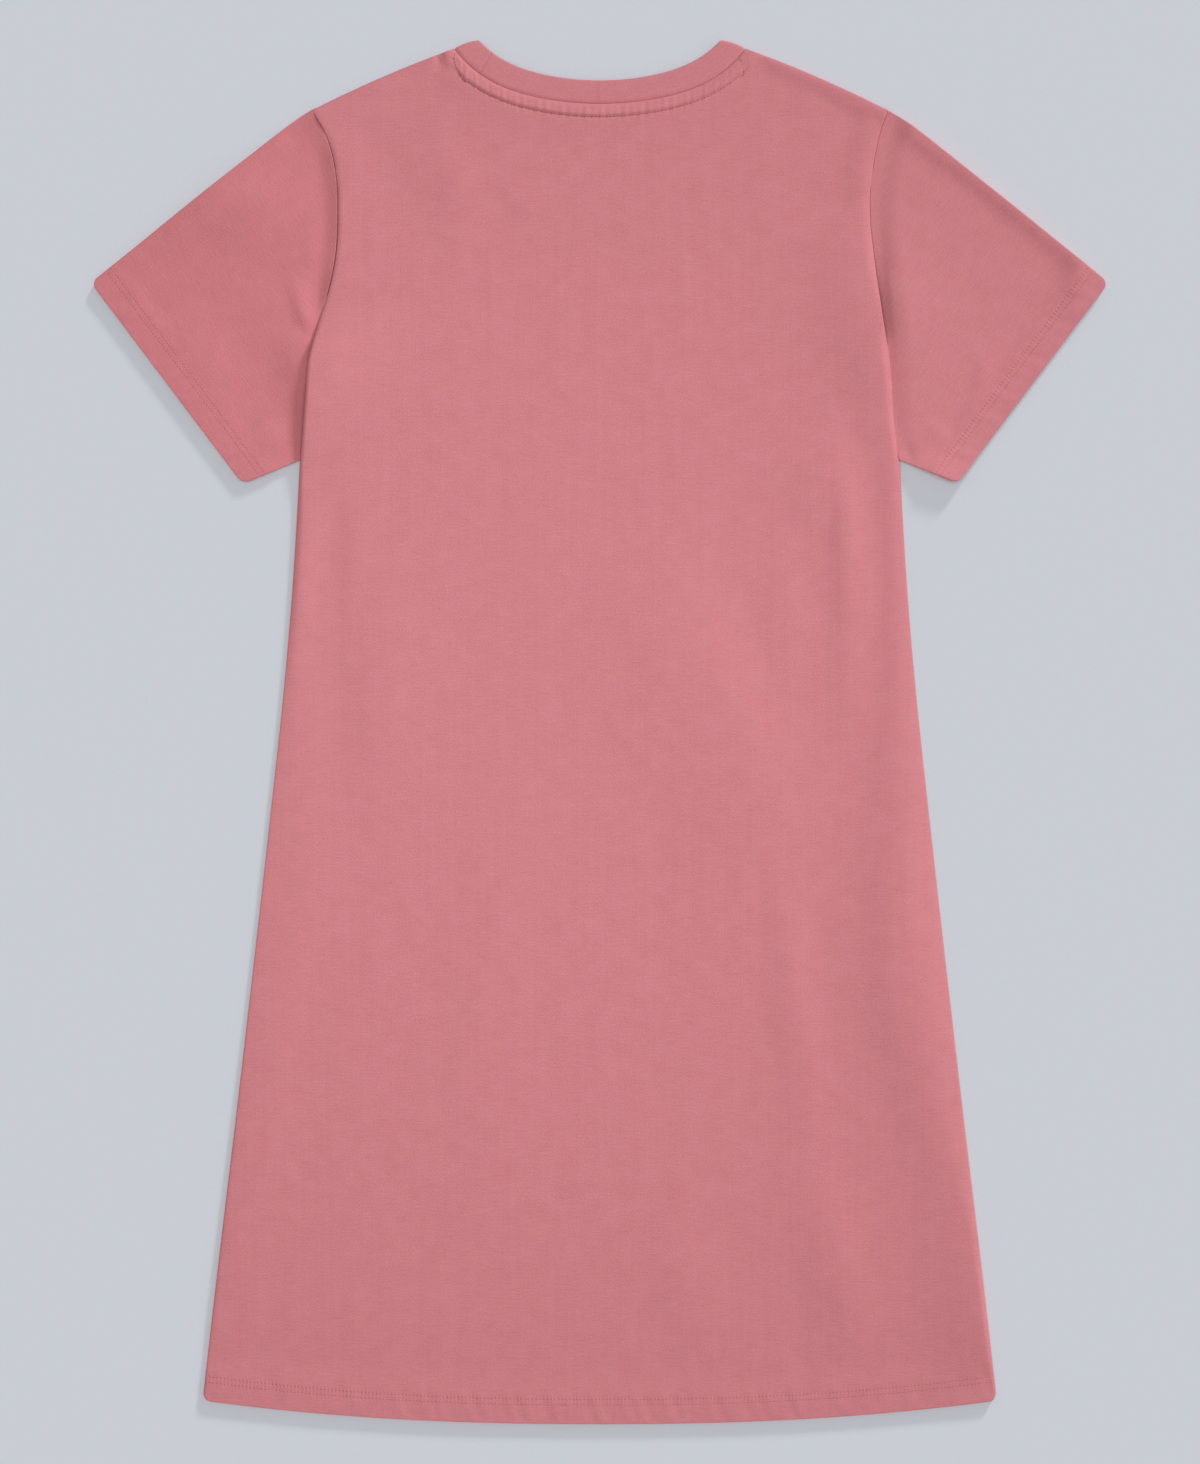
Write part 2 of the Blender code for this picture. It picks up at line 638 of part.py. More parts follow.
def make_sleeve(name, side, back_name, table):
    sleeve = Sleeve(back_name)
    places = sleeve_columns()
    rows = sleeve_rows()
    surfaces = []
    for outer in (True, False):
        points = np.zeros((len(rows), len(places), 3))
        for j, (row_kind, row_value) in enumerate(rows):
            for i, (layer, share, angle) in enumerate(places):
                w = share
                length, _ = sleeve.spans(layer, w, 0.0)
                reach = length - SLEEVE_INSETS[-1]
                end_sine = 1.0
                if row_kind == "cuff":
                    gap = row_value
                elif row_kind == "share":
                    gap = SLEEVE_INSETS[-1] + row_value * (reach - JOIN)
                else:
                    gap = length - rolled(SEAM_ROLL, CLOTH, row_value, outer)
                    end_sine = np.sin(np.radians(row_value))
                layers = float(thickness(gap))
                along = gap / length
                _, width = sleeve.spans(layer, w, along)
                side_gap = min(w, 1 - w) * width
                turn = 1.0
                if angle is not None:
                    side_gap = rolled(SLEEVE_ROLL, layers, angle, outer)
                    turn = np.sin(np.radians(angle))
                new_side, new_gap = rounded(np.array(side_gap), np.array(gap))
                w = float(new_side) / width if w < 0.5 else 1 - float(new_side) / width
                x, y = sleeve.point(layer, w, float(new_gap) / length)
                layer_y = UNDERARM_Y + w * (TIP_Y - UNDERARM_Y)
                arm_gap = length - gap
                full = float(sleeve_height(x, y, side, w, layer_y, gap, arm_gap, table))
                middle = full / 2
                reach_z = (middle if outer else middle - layers) * turn
                z = middle + (reach_z if layer == "upper" else -reach_z)
                end_base = full - layers if layer == "upper" else layers
                z = end_base + (z - end_base) * end_sine if angle is None else z
                points[j, i] = (side * x, y, z)
        surfaces.append(points)
    outer_points, inner_points = surfaces
    for j, (row_kind, row_value) in enumerate(rows):
        if row_kind == "cuff":
            gap = np.full(len(places), row_value)
            outer_z, inner_z = blunted(outer_points[j, :, 2], inner_points[j, :, 2], gap)
            outer_points[j, :, 2] = outer_z
            inner_points[j, :, 2] = inner_z
    return shell(name, outer_points, inner_points, closed_across=True)


# ---- Neck ----


def neck_point(name, x, out):
    """A point of a neck curve, moved out from the panel square to the curve."""
    inner_x = x - np.sign(x) * PROBE if x else PROBE
    rise = float(neck_height(name, x) - neck_height(name, inner_x))
    normal = np.array([-rise, x - inner_x]) * np.sign(x - inner_x)
    normal /= np.hypot(*normal)
    return np.array([x, float(neck_height(name, x))]) + out * normal


# Corners of the band's section: share from seam to free edge, and share from inside to outside.
BAND_SECTION = (
    (0.00, 0.15),
    (0.00, 0.85),
    (0.06, 1.00),
    (0.50, 1.00),
    (0.94, 1.00),
    (1.00, 0.60),
    (1.00, 0.40),
    (0.94, 0.00),
    (0.50, 0.00),
    (0.06, 0.00),
)
BAND_TURNS = (90.0, 60.0, 30.0, 0.0, -30.0, -60.0, -90.0)
BAND_CORNER_BULGE = 0.0010


def band_place(half, share, side):
    """Seam and free-edge points of one half of the band."""
    seam = neck_point(f"{half}_seam", side * share * NECK_HALF, SEAM_GAP)
    free = neck_point(f"{half}_edge", side * share * BAND_HALF, 0.0)
    return seam, free


def band_stations():
    """Stations round the band: plan ends, and the height of its outer and inner faces."""
    middle = BAND_HIGH / 2
    stations = []
    shares = BAND_SHARES
    for half, side in (("back", 1), ("front", 1), ("front", -1), ("back", -1)):
        run = shares if (half, side) in (("back", 1), ("front", -1)) else shares[::-1]
        for share in run:
            if share == 0.0 and (half, side) in (("front", -1), ("back", -1)):
                continue
            seam, free = band_place(half, share, side)
            faces = (BAND_HIGH, TAPE_LOW) if half == "back" else (0.0, BAND_LOW)
            stations.append((seam, free, faces, None))
        if (half, side) in (("back", 1), ("front", -1)):
            for angle in BAND_TURNS:
                turn = angle if half == "back" else -angle
                stations.append((None, None, (middle, turn), side))
    return stations


def make_band():
    """The band as one closed ring that folds over at each shoulder."""
    middle = BAND_HIGH / 2
    inner_radius = middle - BAND_LOW
    rings = []
    for seam, free, faces, side in band_stations():
        ring = []
        for across, out in BAND_SECTION:
            if side is None:
                plan = seam + across * (free - seam)
                z = faces[1] + out * (faces[0] - faces[1])
                ring.append((plan[0], plan[1], z))
                continue
            turn = np.radians(faces[1])
            back = band_turn_direction("back", side, across)
            front = band_turn_direction("front", side, across)
            blend = (np.sin(turn) + 1) / 2
            inward = blend * back + (1 - blend) * front
            radius = inner_radius + out * (middle - inner_radius)
            corner = band_corner(side, across)
            plan = corner + inward * (middle - radius * np.cos(turn))
            ring.append((plan[0], plan[1], middle + radius * np.sin(turn)))
        rings.append(ring)
    mesh = bmesh.new()
    grid = np.array(
        [[mesh.verts.new(point) for point in ring] for ring in rings], dtype=object
    )
    closed = np.concatenate([grid, grid[:1]])
    for quad in wind(closed, closed_across=True):
        mesh.faces.new(quad)
    return finished("neck_band", mesh)


def band_corner(side, across):
    """The fold line of the band at a shoulder, from the seam to the free edge."""
    seam = neck_point("back_seam", side * NECK_HALF, SEAM_GAP)
    free = np.array([side * BAND_HALF, TOP_Y])
    bulge = np.array([0.0, BAND_CORNER_BULGE * np.sin(np.pi * across)])
    return seam + across * (free - seam) + bulge


def band_turn_direction(half, side, across):
    """Direction in plan in which half the band leaves the fold line."""
    seam, free = band_place(half, BAND_SHARES[-1], side)
    here = seam + across * (free - seam)
    away = here - band_corner(side, across)
    return away / np.hypot(*away)


def make_tape():
    """The narrow tape inside the back neck, just under the back panel."""
    half = [TAPE_HALF * share / NECK_SHARES[1] for share in NECK_SHARES[1:]]
    places = [-x for x in half[:-1]] + half[::-1]
    far = [neck_point("back_seam", x, -TAPE_INSET - TAPE_WIDTH) for x in places]
    near = [neck_point("back_seam", x, -TAPE_INSET) for x in places]
    plan = np.array([far, near])
    surfaces = [
        np.concatenate([plan, np.full(plan.shape[:2] + (1,), height)], axis=2)
        for height in (TAPE_HIGH, TAPE_LOW)
    ]
    return shell("neck_tape", *surfaces)


def main():
    for obj in list(bpy.data.objects):
        bpy.data.objects.remove(obj, do_unlink=True)
    make_back()
    make_front()
    make_sleeve("sleeve_left", -1, "back_left", LEFT_SLEEVE_FOLDS)
    make_sleeve("sleeve_right", 1, "back_right", RIGHT_SLEEVE_FOLDS)
    make_band()
    make_tape()


main()
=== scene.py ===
# %% [markdown]
# # A T-shirt dress in cotton jersey
#
# The dress lies flat on a pale table with its back side up. It is cut like a long T-shirt: a back, a
# front, two set-in sleeves, a doubled neck band and a narrow tape inside the back neck. This lesson
# makes each of those pieces as a thin closed shell of cloth, sews them with real stitches, and gives
# them a knitted finish. The frame holds the plain solids that the finished pieces stand for. A cloth
# simulation could drape the whole dress, but it would choose its own folds. Here every form is a
# formula or a row in a table, so each can be read, changed and made again in seconds.

import bpy
import numpy as np
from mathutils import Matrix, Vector
from mathutils.bvhtree import BVHTree


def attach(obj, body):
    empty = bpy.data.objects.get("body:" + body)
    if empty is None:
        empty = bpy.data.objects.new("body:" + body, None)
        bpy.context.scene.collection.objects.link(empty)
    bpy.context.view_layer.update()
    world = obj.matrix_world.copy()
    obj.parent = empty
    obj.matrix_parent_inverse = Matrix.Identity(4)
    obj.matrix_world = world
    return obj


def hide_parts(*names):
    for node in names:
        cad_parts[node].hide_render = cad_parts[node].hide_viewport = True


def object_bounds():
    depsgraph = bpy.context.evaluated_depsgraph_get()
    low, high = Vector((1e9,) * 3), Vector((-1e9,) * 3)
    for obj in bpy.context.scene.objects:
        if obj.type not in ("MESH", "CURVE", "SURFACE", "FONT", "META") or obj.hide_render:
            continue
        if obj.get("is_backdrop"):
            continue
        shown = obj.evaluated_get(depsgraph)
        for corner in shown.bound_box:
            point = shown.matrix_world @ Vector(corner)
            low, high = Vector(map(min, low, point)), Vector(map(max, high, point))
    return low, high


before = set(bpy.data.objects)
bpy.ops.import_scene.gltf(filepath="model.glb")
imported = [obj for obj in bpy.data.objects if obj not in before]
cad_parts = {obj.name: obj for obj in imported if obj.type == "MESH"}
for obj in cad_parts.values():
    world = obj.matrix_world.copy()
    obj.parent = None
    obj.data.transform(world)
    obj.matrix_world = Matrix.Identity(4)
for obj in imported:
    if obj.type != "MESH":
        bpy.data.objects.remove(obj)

cad_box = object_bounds()


def show_box(name, box):
    print(name, "in mm:", [[round(c * 1000, 1) for c in corner] for corner in box])


show_box("frame box", cad_box)

# %% [markdown]
# ## The table, the lamp and the camera
#
# A flat garment shows its form only by the shade of its slopes. One lamp low on the upper right rakes
# over the cloth, so that a fold a millimetre high can be seen. An even light from all sides would be
# simpler, but it would flatten the cloth. A soft lamp overhead makes a pool of light that fades towards
# the hem, and an even sky fills the shadows. Light linking gives the table lamps of its own, so that it
# stays evenly pale under a garment that is lit for its folds. The camera hangs straight above the
# dress, far enough away that its sides don't lean.

# %% Camera
PIXEL = 0.0007  # metres of the table to one pixel of a picture that is 1200 wide and 1464 high
PICTURE_HEIGHT = 1464
LENS = 100.0
SENSOR = 36.0
CAMERA_X = 0.00014
CLOTH_LEVEL = 0.003


def linked(name, data):
    """A new object, linked to the scene."""
    made = bpy.data.objects.new(name, data)
    bpy.context.scene.collection.objects.link(made)
    return made


camera = linked("camera", bpy.data.cameras.new("camera"))
camera.data.lens = LENS
camera.data.sensor_width = SENSOR
camera.location = (CAMERA_X, 0.0, CLOTH_LEVEL + PICTURE_HEIGHT * PIXEL * LENS / SENSOR)
bpy.context.scene.camera = camera
print("camera height in m:", round(camera.location.z, 3))

# %% Lamps and sky
# Azimuth from +X towards +Y and elevation in degrees, strength, spread in degrees, tint, what it
# lights.
LAMPS = {
    "dress_key": (38.0, 25.0, 2.10, 16.0, (0.93, 1.0, 1.02), "dress"),
    "table_key": (62.0, 15.3, 1.66, 7.0, (1.0, 1.0, 1.0), "table"),
    "table_fill": (0.0, 90.0, 1.14, 40.0, (0.925, 1.0, 0.995), "table"),
}
LAMP_AWAY = 3.0
POOL_TINT = (0.84, 1.02, 1.0)
POOL_PLACE = (-0.03, 0.05, 0.90)
POOL_SIZE = 0.4
POOL_POWER = 2.75
SKY = 0.36
SKY_TINT = (1.0, 0.92, 0.92)

lit = {name: bpy.data.collections.new(f"lit_{name}") for name in ("dress", "table")}


def add_lamp(name, kind, group, strength, tint):
    lamp = linked(name, bpy.data.lights.new(name, kind))
    lamp.light_linking.receiver_collection = lit[group]
    lamp.data.energy = strength
    lamp.data.color = tint
    return lamp


for name, (azimuth, elevation, strength, spread, tint, group) in LAMPS.items():
    lamp = add_lamp(name, "SUN", group, strength, tint)
    a, e = np.radians(azimuth), np.radians(elevation)
    towards = Vector((np.cos(a) * np.cos(e), np.sin(a) * np.cos(e), np.sin(e)))
    lamp.data.angle = np.radians(spread)
    lamp.rotation_mode = "QUATERNION"
    lamp.rotation_quaternion = towards.to_track_quat("Z", "Y")
    lamp.location = towards * LAMP_AWAY
    print(name, "towards", [round(c, 2) for c in towards])

pool = add_lamp("pool", "AREA", "dress", POOL_POWER, POOL_TINT)
pool.location = POOL_PLACE
pool.data.size = POOL_SIZE

world = bpy.data.worlds.new("sky")
world.use_nodes = True
sky = world.node_tree.nodes["Background"].inputs
sky["Color"].default_value = (*SKY_TINT, 1.0)
sky["Strength"].default_value = SKY
bpy.context.scene.world = world
bpy.context.scene.view_settings.view_transform = "Standard"

# %% [markdown]
# ## Small tools for curves
#
# A garment is drafted from curves that are read off a few measured points. They could be Blender's
# curve objects, but a formula shapes ten thousand points at once. `ease` is the soft step that every
# lift and fade below is made of, and `smooth_read` is the drafting spline. Tables are written in
# millimetres, as on a paper pattern, and kept in metres.

# %% Curve tools
CREST_POINTS = 32


def ease(low, high, value):
    """Rises smoothly from 0 at low to 1 at high."""
    share = np.clip((value - low) / (high - low), 0.0, 1.0)
    return share * share * (3.0 - 2.0 * share)


def between(start, end, share):
    """What lies a share of the way from start to end."""
    return start + share * (end - start)


def bump(distance, width):
    """1 at distance 0, falling off over a half width."""
    return np.exp(-((distance / width) ** 2))


def smooth_read(knots, values, at):
    """A value read on the cubic that passes through the knots with central slopes."""
    slopes = np.gradient(values, knots)
    at = np.clip(at, knots[0], knots[-1])
    place = np.clip(np.searchsorted(knots, at) - 1, 0, len(knots) - 2)
    step = knots[place + 1] - knots[place]
    t = (at - knots[place]) / step
    ends = values[place] * (1 + 2 * t) * (1 - t) ** 2 + values[place + 1] * t * t * (3 - 2 * t)
    bends = slopes[place] * t * (1 - t) ** 2 - slopes[place + 1] * t * t * (1 - t)
    return ends + step * bends


def table(names, *rows):
    """Columns of measures by name, from rows in millimetres."""
    return dict(zip(names.split(), np.array(rows, dtype=float).T / 1000))


def read(columns, name, at):
    """A column of a table, read smoothly along the table's first column."""
    return smooth_read(next(iter(columns.values())), columns[name], at)


def run_along(line):
    """How far along a line each of its points lies."""
    return np.concatenate([[0.0], np.cumsum(np.linalg.norm(np.diff(line, axis=0), axis=1))])


def crest_line(points):
    """A smooth line through a crest's points, in even steps."""
    run = run_along(points[:, :2])
    at = np.linspace(0.0, run[-1], CREST_POINTS)
    return np.column_stack([smooth_read(run, points[:, k], at) for k in range(3)])


def even_points(line, step):
    """Points at even steps along a line, with the direction of travel at each."""
    run = run_along(line)
    at = np.arange(step / 2, run[-1], step)
    here, ahead, behind = (
        np.column_stack([np.interp(place, run, line[:, k]) for k in (0, 1)])
        for place in (at, at + step / 4, at - step / 4)
    )
    way = ahead - behind
    return here, way / np.hypot(*way.T)[:, None]


def line_place(x, y, line):
    """Distance from points to a line of short runs, the side they lie on, and how far along it."""
    best = np.full(np.shape(x), np.inf)
    side = np.zeros(np.shape(x))
    along = np.zeros(np.shape(x))
    for k, (a, b) in enumerate(zip(line[:-1], line[1:])):
        way = b[:2] - a[:2]
        share = np.clip(((x - a[0]) * way[0] + (y - a[1]) * way[1]) / (way @ way), 0.0, 1.0)
        dx = x - a[0] - share * way[0]
        dy = y - a[1] - share * way[1]
        square = dx * dx + dy * dy
        closer = square < best
        best = np.where(closer, square, best)
        side = np.where(closer, way[0] * dy - way[1] * dx, side)
        along = np.where(closer, k + share, along)
    return np.sqrt(best), side, along


print("a soft step from 0 to 1, read at its quarters:", ease(0.0, 1.0, np.linspace(0, 1, 5)).round(2))

# %% [markdown]
# ## The draft
#
# These are the measures of the flat dress in metres, the same ones that the frame's solids were
# drafted from: the neck, shoulder, armhole, side and hem lines. The outline could be taken from the
# edges of those solids, but they are coarse. Keeping it as formulas lets the cloth be as fine as wished
# while it stays exactly where the frame says.

# %% Measures
CLOTH = 0.0007  # one layer of jersey
SEAM_GAP = 0.0001  # between pieces that are sewn together
TOP_Y = 0.4844
HEM_Y = -0.4844
HEM_HALF = 0.2780
HEM_RISE = 0.0165
HEM_POWER = 2.3
HEM_DEPTH = 0.0168  # of the turned-up hem and cuffs
HEM_STEP = 0.0008  # over which two layers become one at the raw edge inside
CORNER_RADIUS = 0.0056
TIP_HALF = 0.2016  # the shoulder's tip
TIP_Y = 0.4354
SHOULDER_BULGE = 0.0019
NECK_HALF = 0.1022
NECK_CORNER_Y = 0.4784
BAND_HALF = 0.0848
UNDERARM_Y = 0.1904
SEAM_SEEN = (0.262, 0.283)  # from here up the back is sewn to the sleeve instead of lying on it
SIDE_ROLL = 0.0003  # radius inside a side seam's rolled edge
SEAM_ROLL = 0.0002
EDGE_TAPER = 0.0007  # how far in from a hem's folded edge it starts to thin
EDGE_BLUNT = 0.8  # share of its thickness that is left at that edge
JOIN = 0.004  # what is left free at the end of a seam, for the corner there
GRAIN = (0.7986, -0.6019)  # direction of a sleeve's wales, from the shoulder to the cuff

# Heights of the layers.
LAY = 0.0024
HEM_TOP = 0.0034
SEAM_BASE_BACK = 0.00175
SEAM_BASE_FRONT = 0.00145
TUCK_TOP = 0.0023

# Neck curves: the height of the lowest point, the half width, and the rise of the two terms.
NECKS = {
    "back_seam": (0.4397, NECK_HALF, 0.0238, 0.0149),
    "back_edge": (0.4561, BAND_HALF, 0.0192, 0.0091),
    "front_seam": (0.3871, NECK_HALF, 0.0520, 0.0393),
    "front_edge": (0.4039, BAND_HALF, 0.0470, 0.0335),
}
SIDE = table(
    "height half", (-468, 278), (-397.6, 270), (-257.6, 253.3), (-117.6, 237.2), (-47.6, 229.4),
    (22.4, 221.9), (92.4, 215.8), (162.4, 211.4), (190.4, 209.9),
)
ARMHOLE = table(
    "height back_left back_right front tuck",
    (190.4, 209.9, 209.7, 209.9, 0),
    (205, 208.6, 207.7, 205.7, 2),
    (222, 207.3, 205.6, 201.6, 5),
    (242, 205.8, 204.8, 196.8, 7),
    (262, 204, 203, 192, 6),
    (283, 198, 199, 186.8, 1.4),
    (307, 190.4, 195.5, 182.2, -0.3),
    (333, 185, 192.1, 179.8, -0.3),
    (360, 183.5, 189.3, 179.7, -0.3),
    (386, 184.3, 189.9, 181.5, -0.3),
    (407.5, 188.2, 193.5, 186.2, -0.3),
    (420.2, 192.8, 196.4, 191.7, -0.3),
    (435.4, 201.6, 201.6, 201.6, -0.3),
)
print("dress length in mm:", round((TOP_Y - HEM_Y) * 1000, 1))

# %% Outlines
PROBE = 0.0005  # step over which a curve's slope is measured


def neck_height(name, x):
    """Height of a neck curve at x."""
    low_y, half, round_rise, corner_rise = NECKS[name]
    share = np.minimum(np.abs(x) / half, 1.0)
    return low_y + round_rise * share**2 + corner_rise * share**6


def neck_point(name, x, out):
    """Points of a neck curve, moved out from the panel square to the curve."""
    x = np.asarray(x, dtype=float)
    step = np.where(x > 0, -PROBE, PROBE)
    rise = (neck_height(name, x + step) - neck_height(name, x)) / step
    length = np.hypot(1.0, rise)
    return np.stack([x - out * rise / length, neck_height(name, x) + out / length], axis=-1)


def top_height(neck, x):
    """Upper edge of a panel at x: its neck curve, then the shoulder."""
    out = (np.abs(x) - NECK_HALF) / (TIP_HALF - NECK_HALF)
    shoulder = between(NECK_CORNER_Y, TIP_Y, out) + 4 * SHOULDER_BULGE * out * (1 - out)
    return np.where(np.abs(x) < NECK_HALF, neck_height(neck, x), shoulder)


def hem_height(x):
    return HEM_Y + HEM_RISE * (np.abs(x) / HEM_HALF) ** HEM_POWER


def edge_half(y, armhole):
    """Half width of a panel at height y: the side seam, then the armhole."""
    return np.where(y >= UNDERARM_Y, read(ARMHOLE, armhole, y), read(SIDE, "half", y))


HEM_CORNER_Y = float(hem_height(HEM_HALF))
NECK_LINE = neck_point("back_seam", np.linspace(-NECK_HALF, NECK_HALF, 161), 0.0)
print("neck seam of the back in mm:", round(run_along(NECK_LINE)[-1] * 1000, 1))

# %% [markdown]
# ## Folds
#
# Jersey that is laid out by hand keeps soft waves: the cloth stands one to four millimetres off the
# layer below along crests that start at the underarm and run down to the hem. They could be
# simulated, but a simulation doesn't put a crest where this dress has it. So each fold is a row in a
# table: how far it falls away on its west side and on its east side, and a few points along its
# crest, from the hem end to the neck end, each with the crest's height there. The nips are small
# forms close to a seam. A nip that is a groove has heights below zero.

# %% Fold tables
# All in millimetres: west fall, east fall, then the crest's points as (x, y, height).
BACK_CRESTS = (
    (10, 13, (171, -6, 0), (173, 57, 1.4), (172, 120, 2.4), (169, 176, 2.3), (166, 218, 0)),
    (32, 12, (169, 138, 0.3), (166, 176, 2.6), (164, 214, 0.6)),
    (20, 12, (126, -20, 0), (128, 36, 0.8), (130, 92, 1), (126, 134, 0.3)),
    (62, 32, (120, -104, 1), (112, -48, 2.6), (90, 8, 3.2), (63, 64, 2.8), (38, 113, 1.4),
     (21, 148, 0)),
    (17, 14, (156, -314, 0.2), (146, -258, 1.2), (138, -202, 1.6), (131, -146, 1.8), (123, -104, 1.3),
     (116, -83, 0.2)),
    (24, 20, (172, -419, 0.6), (167, -384, 2), (154, -335, 1.8), (144, -293, 0.3)),
    (22, 24, (66, -420, 0.6), (60, -384, 1.4), (52, -340, 0.3)),
    (12, 22, (-169, 8, 0), (-170, 64, 0.8), (-170, 120, 1), (-173, 176, 0.6), (-178, 211, 0)),
    (18, 30, (-152, -70, 0), (-155, -10, 1), (-157, 60, 1.3), (-160, 120, 0.8), (-165, 170, 0)),
    (20, 18, (-98, 330, 0), (-100, 370, 1.3), (-102, 420, 2), (-105, 460, 1.8)),
    (12, 14, (-42, 350, 0), (-56, 379, 0.6), (-73, 407, 0)),
    (26, 30, (-70, -360, 0.2), (-78, -250, 0.6), (-70, -120, 0.6), (-50, 0, 0.1)),
)
BACK_NIPS = (
    (2.2, 2.6, (-111.6, 460, 0), (-112.1, 468, -1.3), (-112.4, 474, -2)),
    (3, 4, (190, 165, 0), (200, 158, -0.5), (208, 150, -0.3)),
    (3, 3, (-208, -10, 0), (-215, -4, -0.5), (-221, 1, -0.3)),
    (1.6, 2.2, (204.5, 250.5, -0.8), (206.8, 259, -0.6), (206.4, 266, 0)),
)
# Crests and nips of each sleeve.
SLEEVE_FOLDS = {
    "left": (
        (
            (26, 34, (-322, 342, 1), (-300, 358, 2.8), (-270, 371, 4.4), (-240, 370, 4.2),
             (-210, 356, 1.6)),
            (12, 26, (-262, 318, 0), (-232, 302, 0.8), (-213, 282, 0.8), (-204, 270, 0)),
            (22, 20, (-306, 296, 0), (-286, 266, 1.4), (-262, 228, 0.8)),
            (18, 12, (-250, 194, 0.4), (-232, 203, 1.2), (-218, 209, 0.4)),
        ), (
            (8, 8, (-224, 410, 0), (-213, 419, -1.1), (-205, 427, 0)),
            (8, 6.5, (-219, 322, 0), (-214.5, 312, 0.7), (-209.5, 299, 1.8), (-205, 287, 2.2),
             (-200.8, 275.8, 0.8)),
            (20, 10, (-208, 200, 0.4), (-206, 230, 1.2), (-204, 254, 3.8), (-203.4, 270, 3),
             (-204, 286, 0)),
        ),
    ),
    "right": (
        (
            (7, 9, (254, 212, 0), (264, 232, 1.2), (269, 252, 1.1), (262, 274, 0)),
            (6, 8, (222, 222, 0), (236, 211, 1), (248, 200, 0.2)),
        ), (
            (6, 11, (195, 348, 0), (194.5, 325, -0.8), (196.5, 300, -1.2), (199.5, 280, -0.7),
             (202.5, 268, 0)),
            (12, 10, (326, 290, 0), (333, 308, 1.8), (336, 325, 2), (332, 338, 0.4)),
            (20, 10, (212, 184, 1), (229, 174, 5), (247, 166, 5)),
            (3.5, 4, (212, 202, 0), (216, 196, -0.8), (220, 189, 0)),
            (6.8, 28, (212, 215, 0), (210.2, 244, 0.7), (208.8, 268, 1.7), (206, 300, 2.7),
             (204, 328, 1.1), (204, 365, 0)),
        ),
    ),
}
print("folds of the back:", len(BACK_CRESTS))

# %% Fold tools
WAVES = 7
WAVE_TURN = 0.9
WAVE_SPREAD = (0.7, 1.6)
JOIN_POWER = 4


def crests(x, y, folds):
    """Height that folds add. Crests join where they meet, and so do the grooves, which cut in."""
    high = np.zeros(np.shape(x))
    low = np.zeros(np.shape(x))
    for west, east, *points in folds:
        line = crest_line(np.array(points) / 1000)
        distance, side, along = line_place(x, y, line)
        height = np.interp(along, np.arange(len(line)), line[:, 2])
        shape = height * bump(distance, np.where(side > 0, west, east) / 1000)
        if max(point[2] for point in points) > 0:
            high = np.maximum(high, shape)
        else:
            low = np.minimum(low, shape)
    return high + low


def waves(x, y, seed, size, height):
    """A gentle unevenness made of a few crossing waves, the same each time."""
    draw = np.random.default_rng(seed)
    total = np.zeros(np.shape(x))
    for _ in range(WAVES):
        angle = draw.uniform(-WAVE_TURN, WAVE_TURN)
        length = size * draw.uniform(*WAVE_SPREAD)
        turn = draw.uniform(0.0, 2 * np.pi)
        total += np.sin(2 * np.pi * (x * np.cos(angle) + y * np.sin(angle)) / length + turn)
    return height * total / WAVES


def joined(*lifts):
    """The higher of several lifts, with the corner where they cross rounded off."""
    return sum(np.maximum(lift, 0.0) ** JOIN_POWER for lift in lifts) ** (1 / JOIN_POWER)


# %% [markdown]
# ## A shell of cloth
#
# Every piece below is one closed body: an upper grid of points, a lower grid a cloth's thickness away
# and a narrow wall all round. A Solidify modifier could thicken a single sheet, but it can't turn an
# edge under or make a hem two layers thick. Each shell keeps its flat cut as its UV map, in metres, so
# that the knit later runs along the grain of each piece and has the same gauge everywhere.

# %% Shell tools


def quads(grid):
    corners = [grid[:-1, :-1], grid[:-1, 1:], grid[1:, 1:], grid[1:, :-1]]
    return np.stack(corners, axis=-1).reshape(-1, 4)


def shell_faces(rows, columns, wrap):
    """Faces of a closed shell between two grids of rows x columns points."""
    index = np.arange(2 * rows * columns).reshape(2, rows, columns)
    if wrap:
        index = np.pad(index, ((0, 0), (0, 0), (0, 1)), mode="wrap")
    top, bottom = index
    walls = [(bottom[0], top[0]), (top[-1], bottom[-1])]
    if not wrap:
        walls += [(top[:, 0], bottom[:, 0]), (bottom[:, -1], top[:, -1])]
    return np.concatenate([quads(top), quads(bottom)[:, ::-1], *(quads(np.stack(w)) for w in walls)])


def volume(points, faces):
    a, b, c, d = (points[faces[:, k]] for k in range(4))
    return sum(np.einsum("ij,ij->i", a, np.cross(p, q)).sum() / 6 for p, q in ((b, c), (c, d)))


def new_piece(name, points, faces):
    """An object with a smooth mesh."""
    mesh = bpy.data.meshes.new(name)
    mesh.from_pydata(points.tolist(), [], faces)
    mesh.shade_smooth()
    return linked(name, mesh)


def make_cloth(name, points, faces, cut):
    """A piece from points, quads and the flat cut's coordinates, with its faces outwards."""
    if volume(points, faces) < 0:
        faces = faces[:, ::-1]
    piece = new_piece(name, points, faces.tolist())
    mesh = piece.data
    corner = np.zeros(len(mesh.loops), dtype=np.int32)
    mesh.loops.foreach_get("vertex_index", corner)
    mesh.uv_layers.new(name="cut").data.foreach_set("uv", cut[corner].astype(np.float32).ravel())
    low, high = (points.min(axis=0) * 1000).round(1), (points.max(axis=0) * 1000).round(1)
    print(f"{name}: {2 * len(faces)} triangles, mm {low} to {high}")
    return piece


def cloth_shell(name, upper, lower, cut, wrap=False):
    points = np.concatenate([upper.reshape(-1, 3), lower.reshape(-1, 3)])
    flat = np.concatenate([cut.reshape(-1, 2)] * 2)
    return make_cloth(name, points, shell_faces(*upper.shape[:2], wrap), flat)


# %% Edge tools


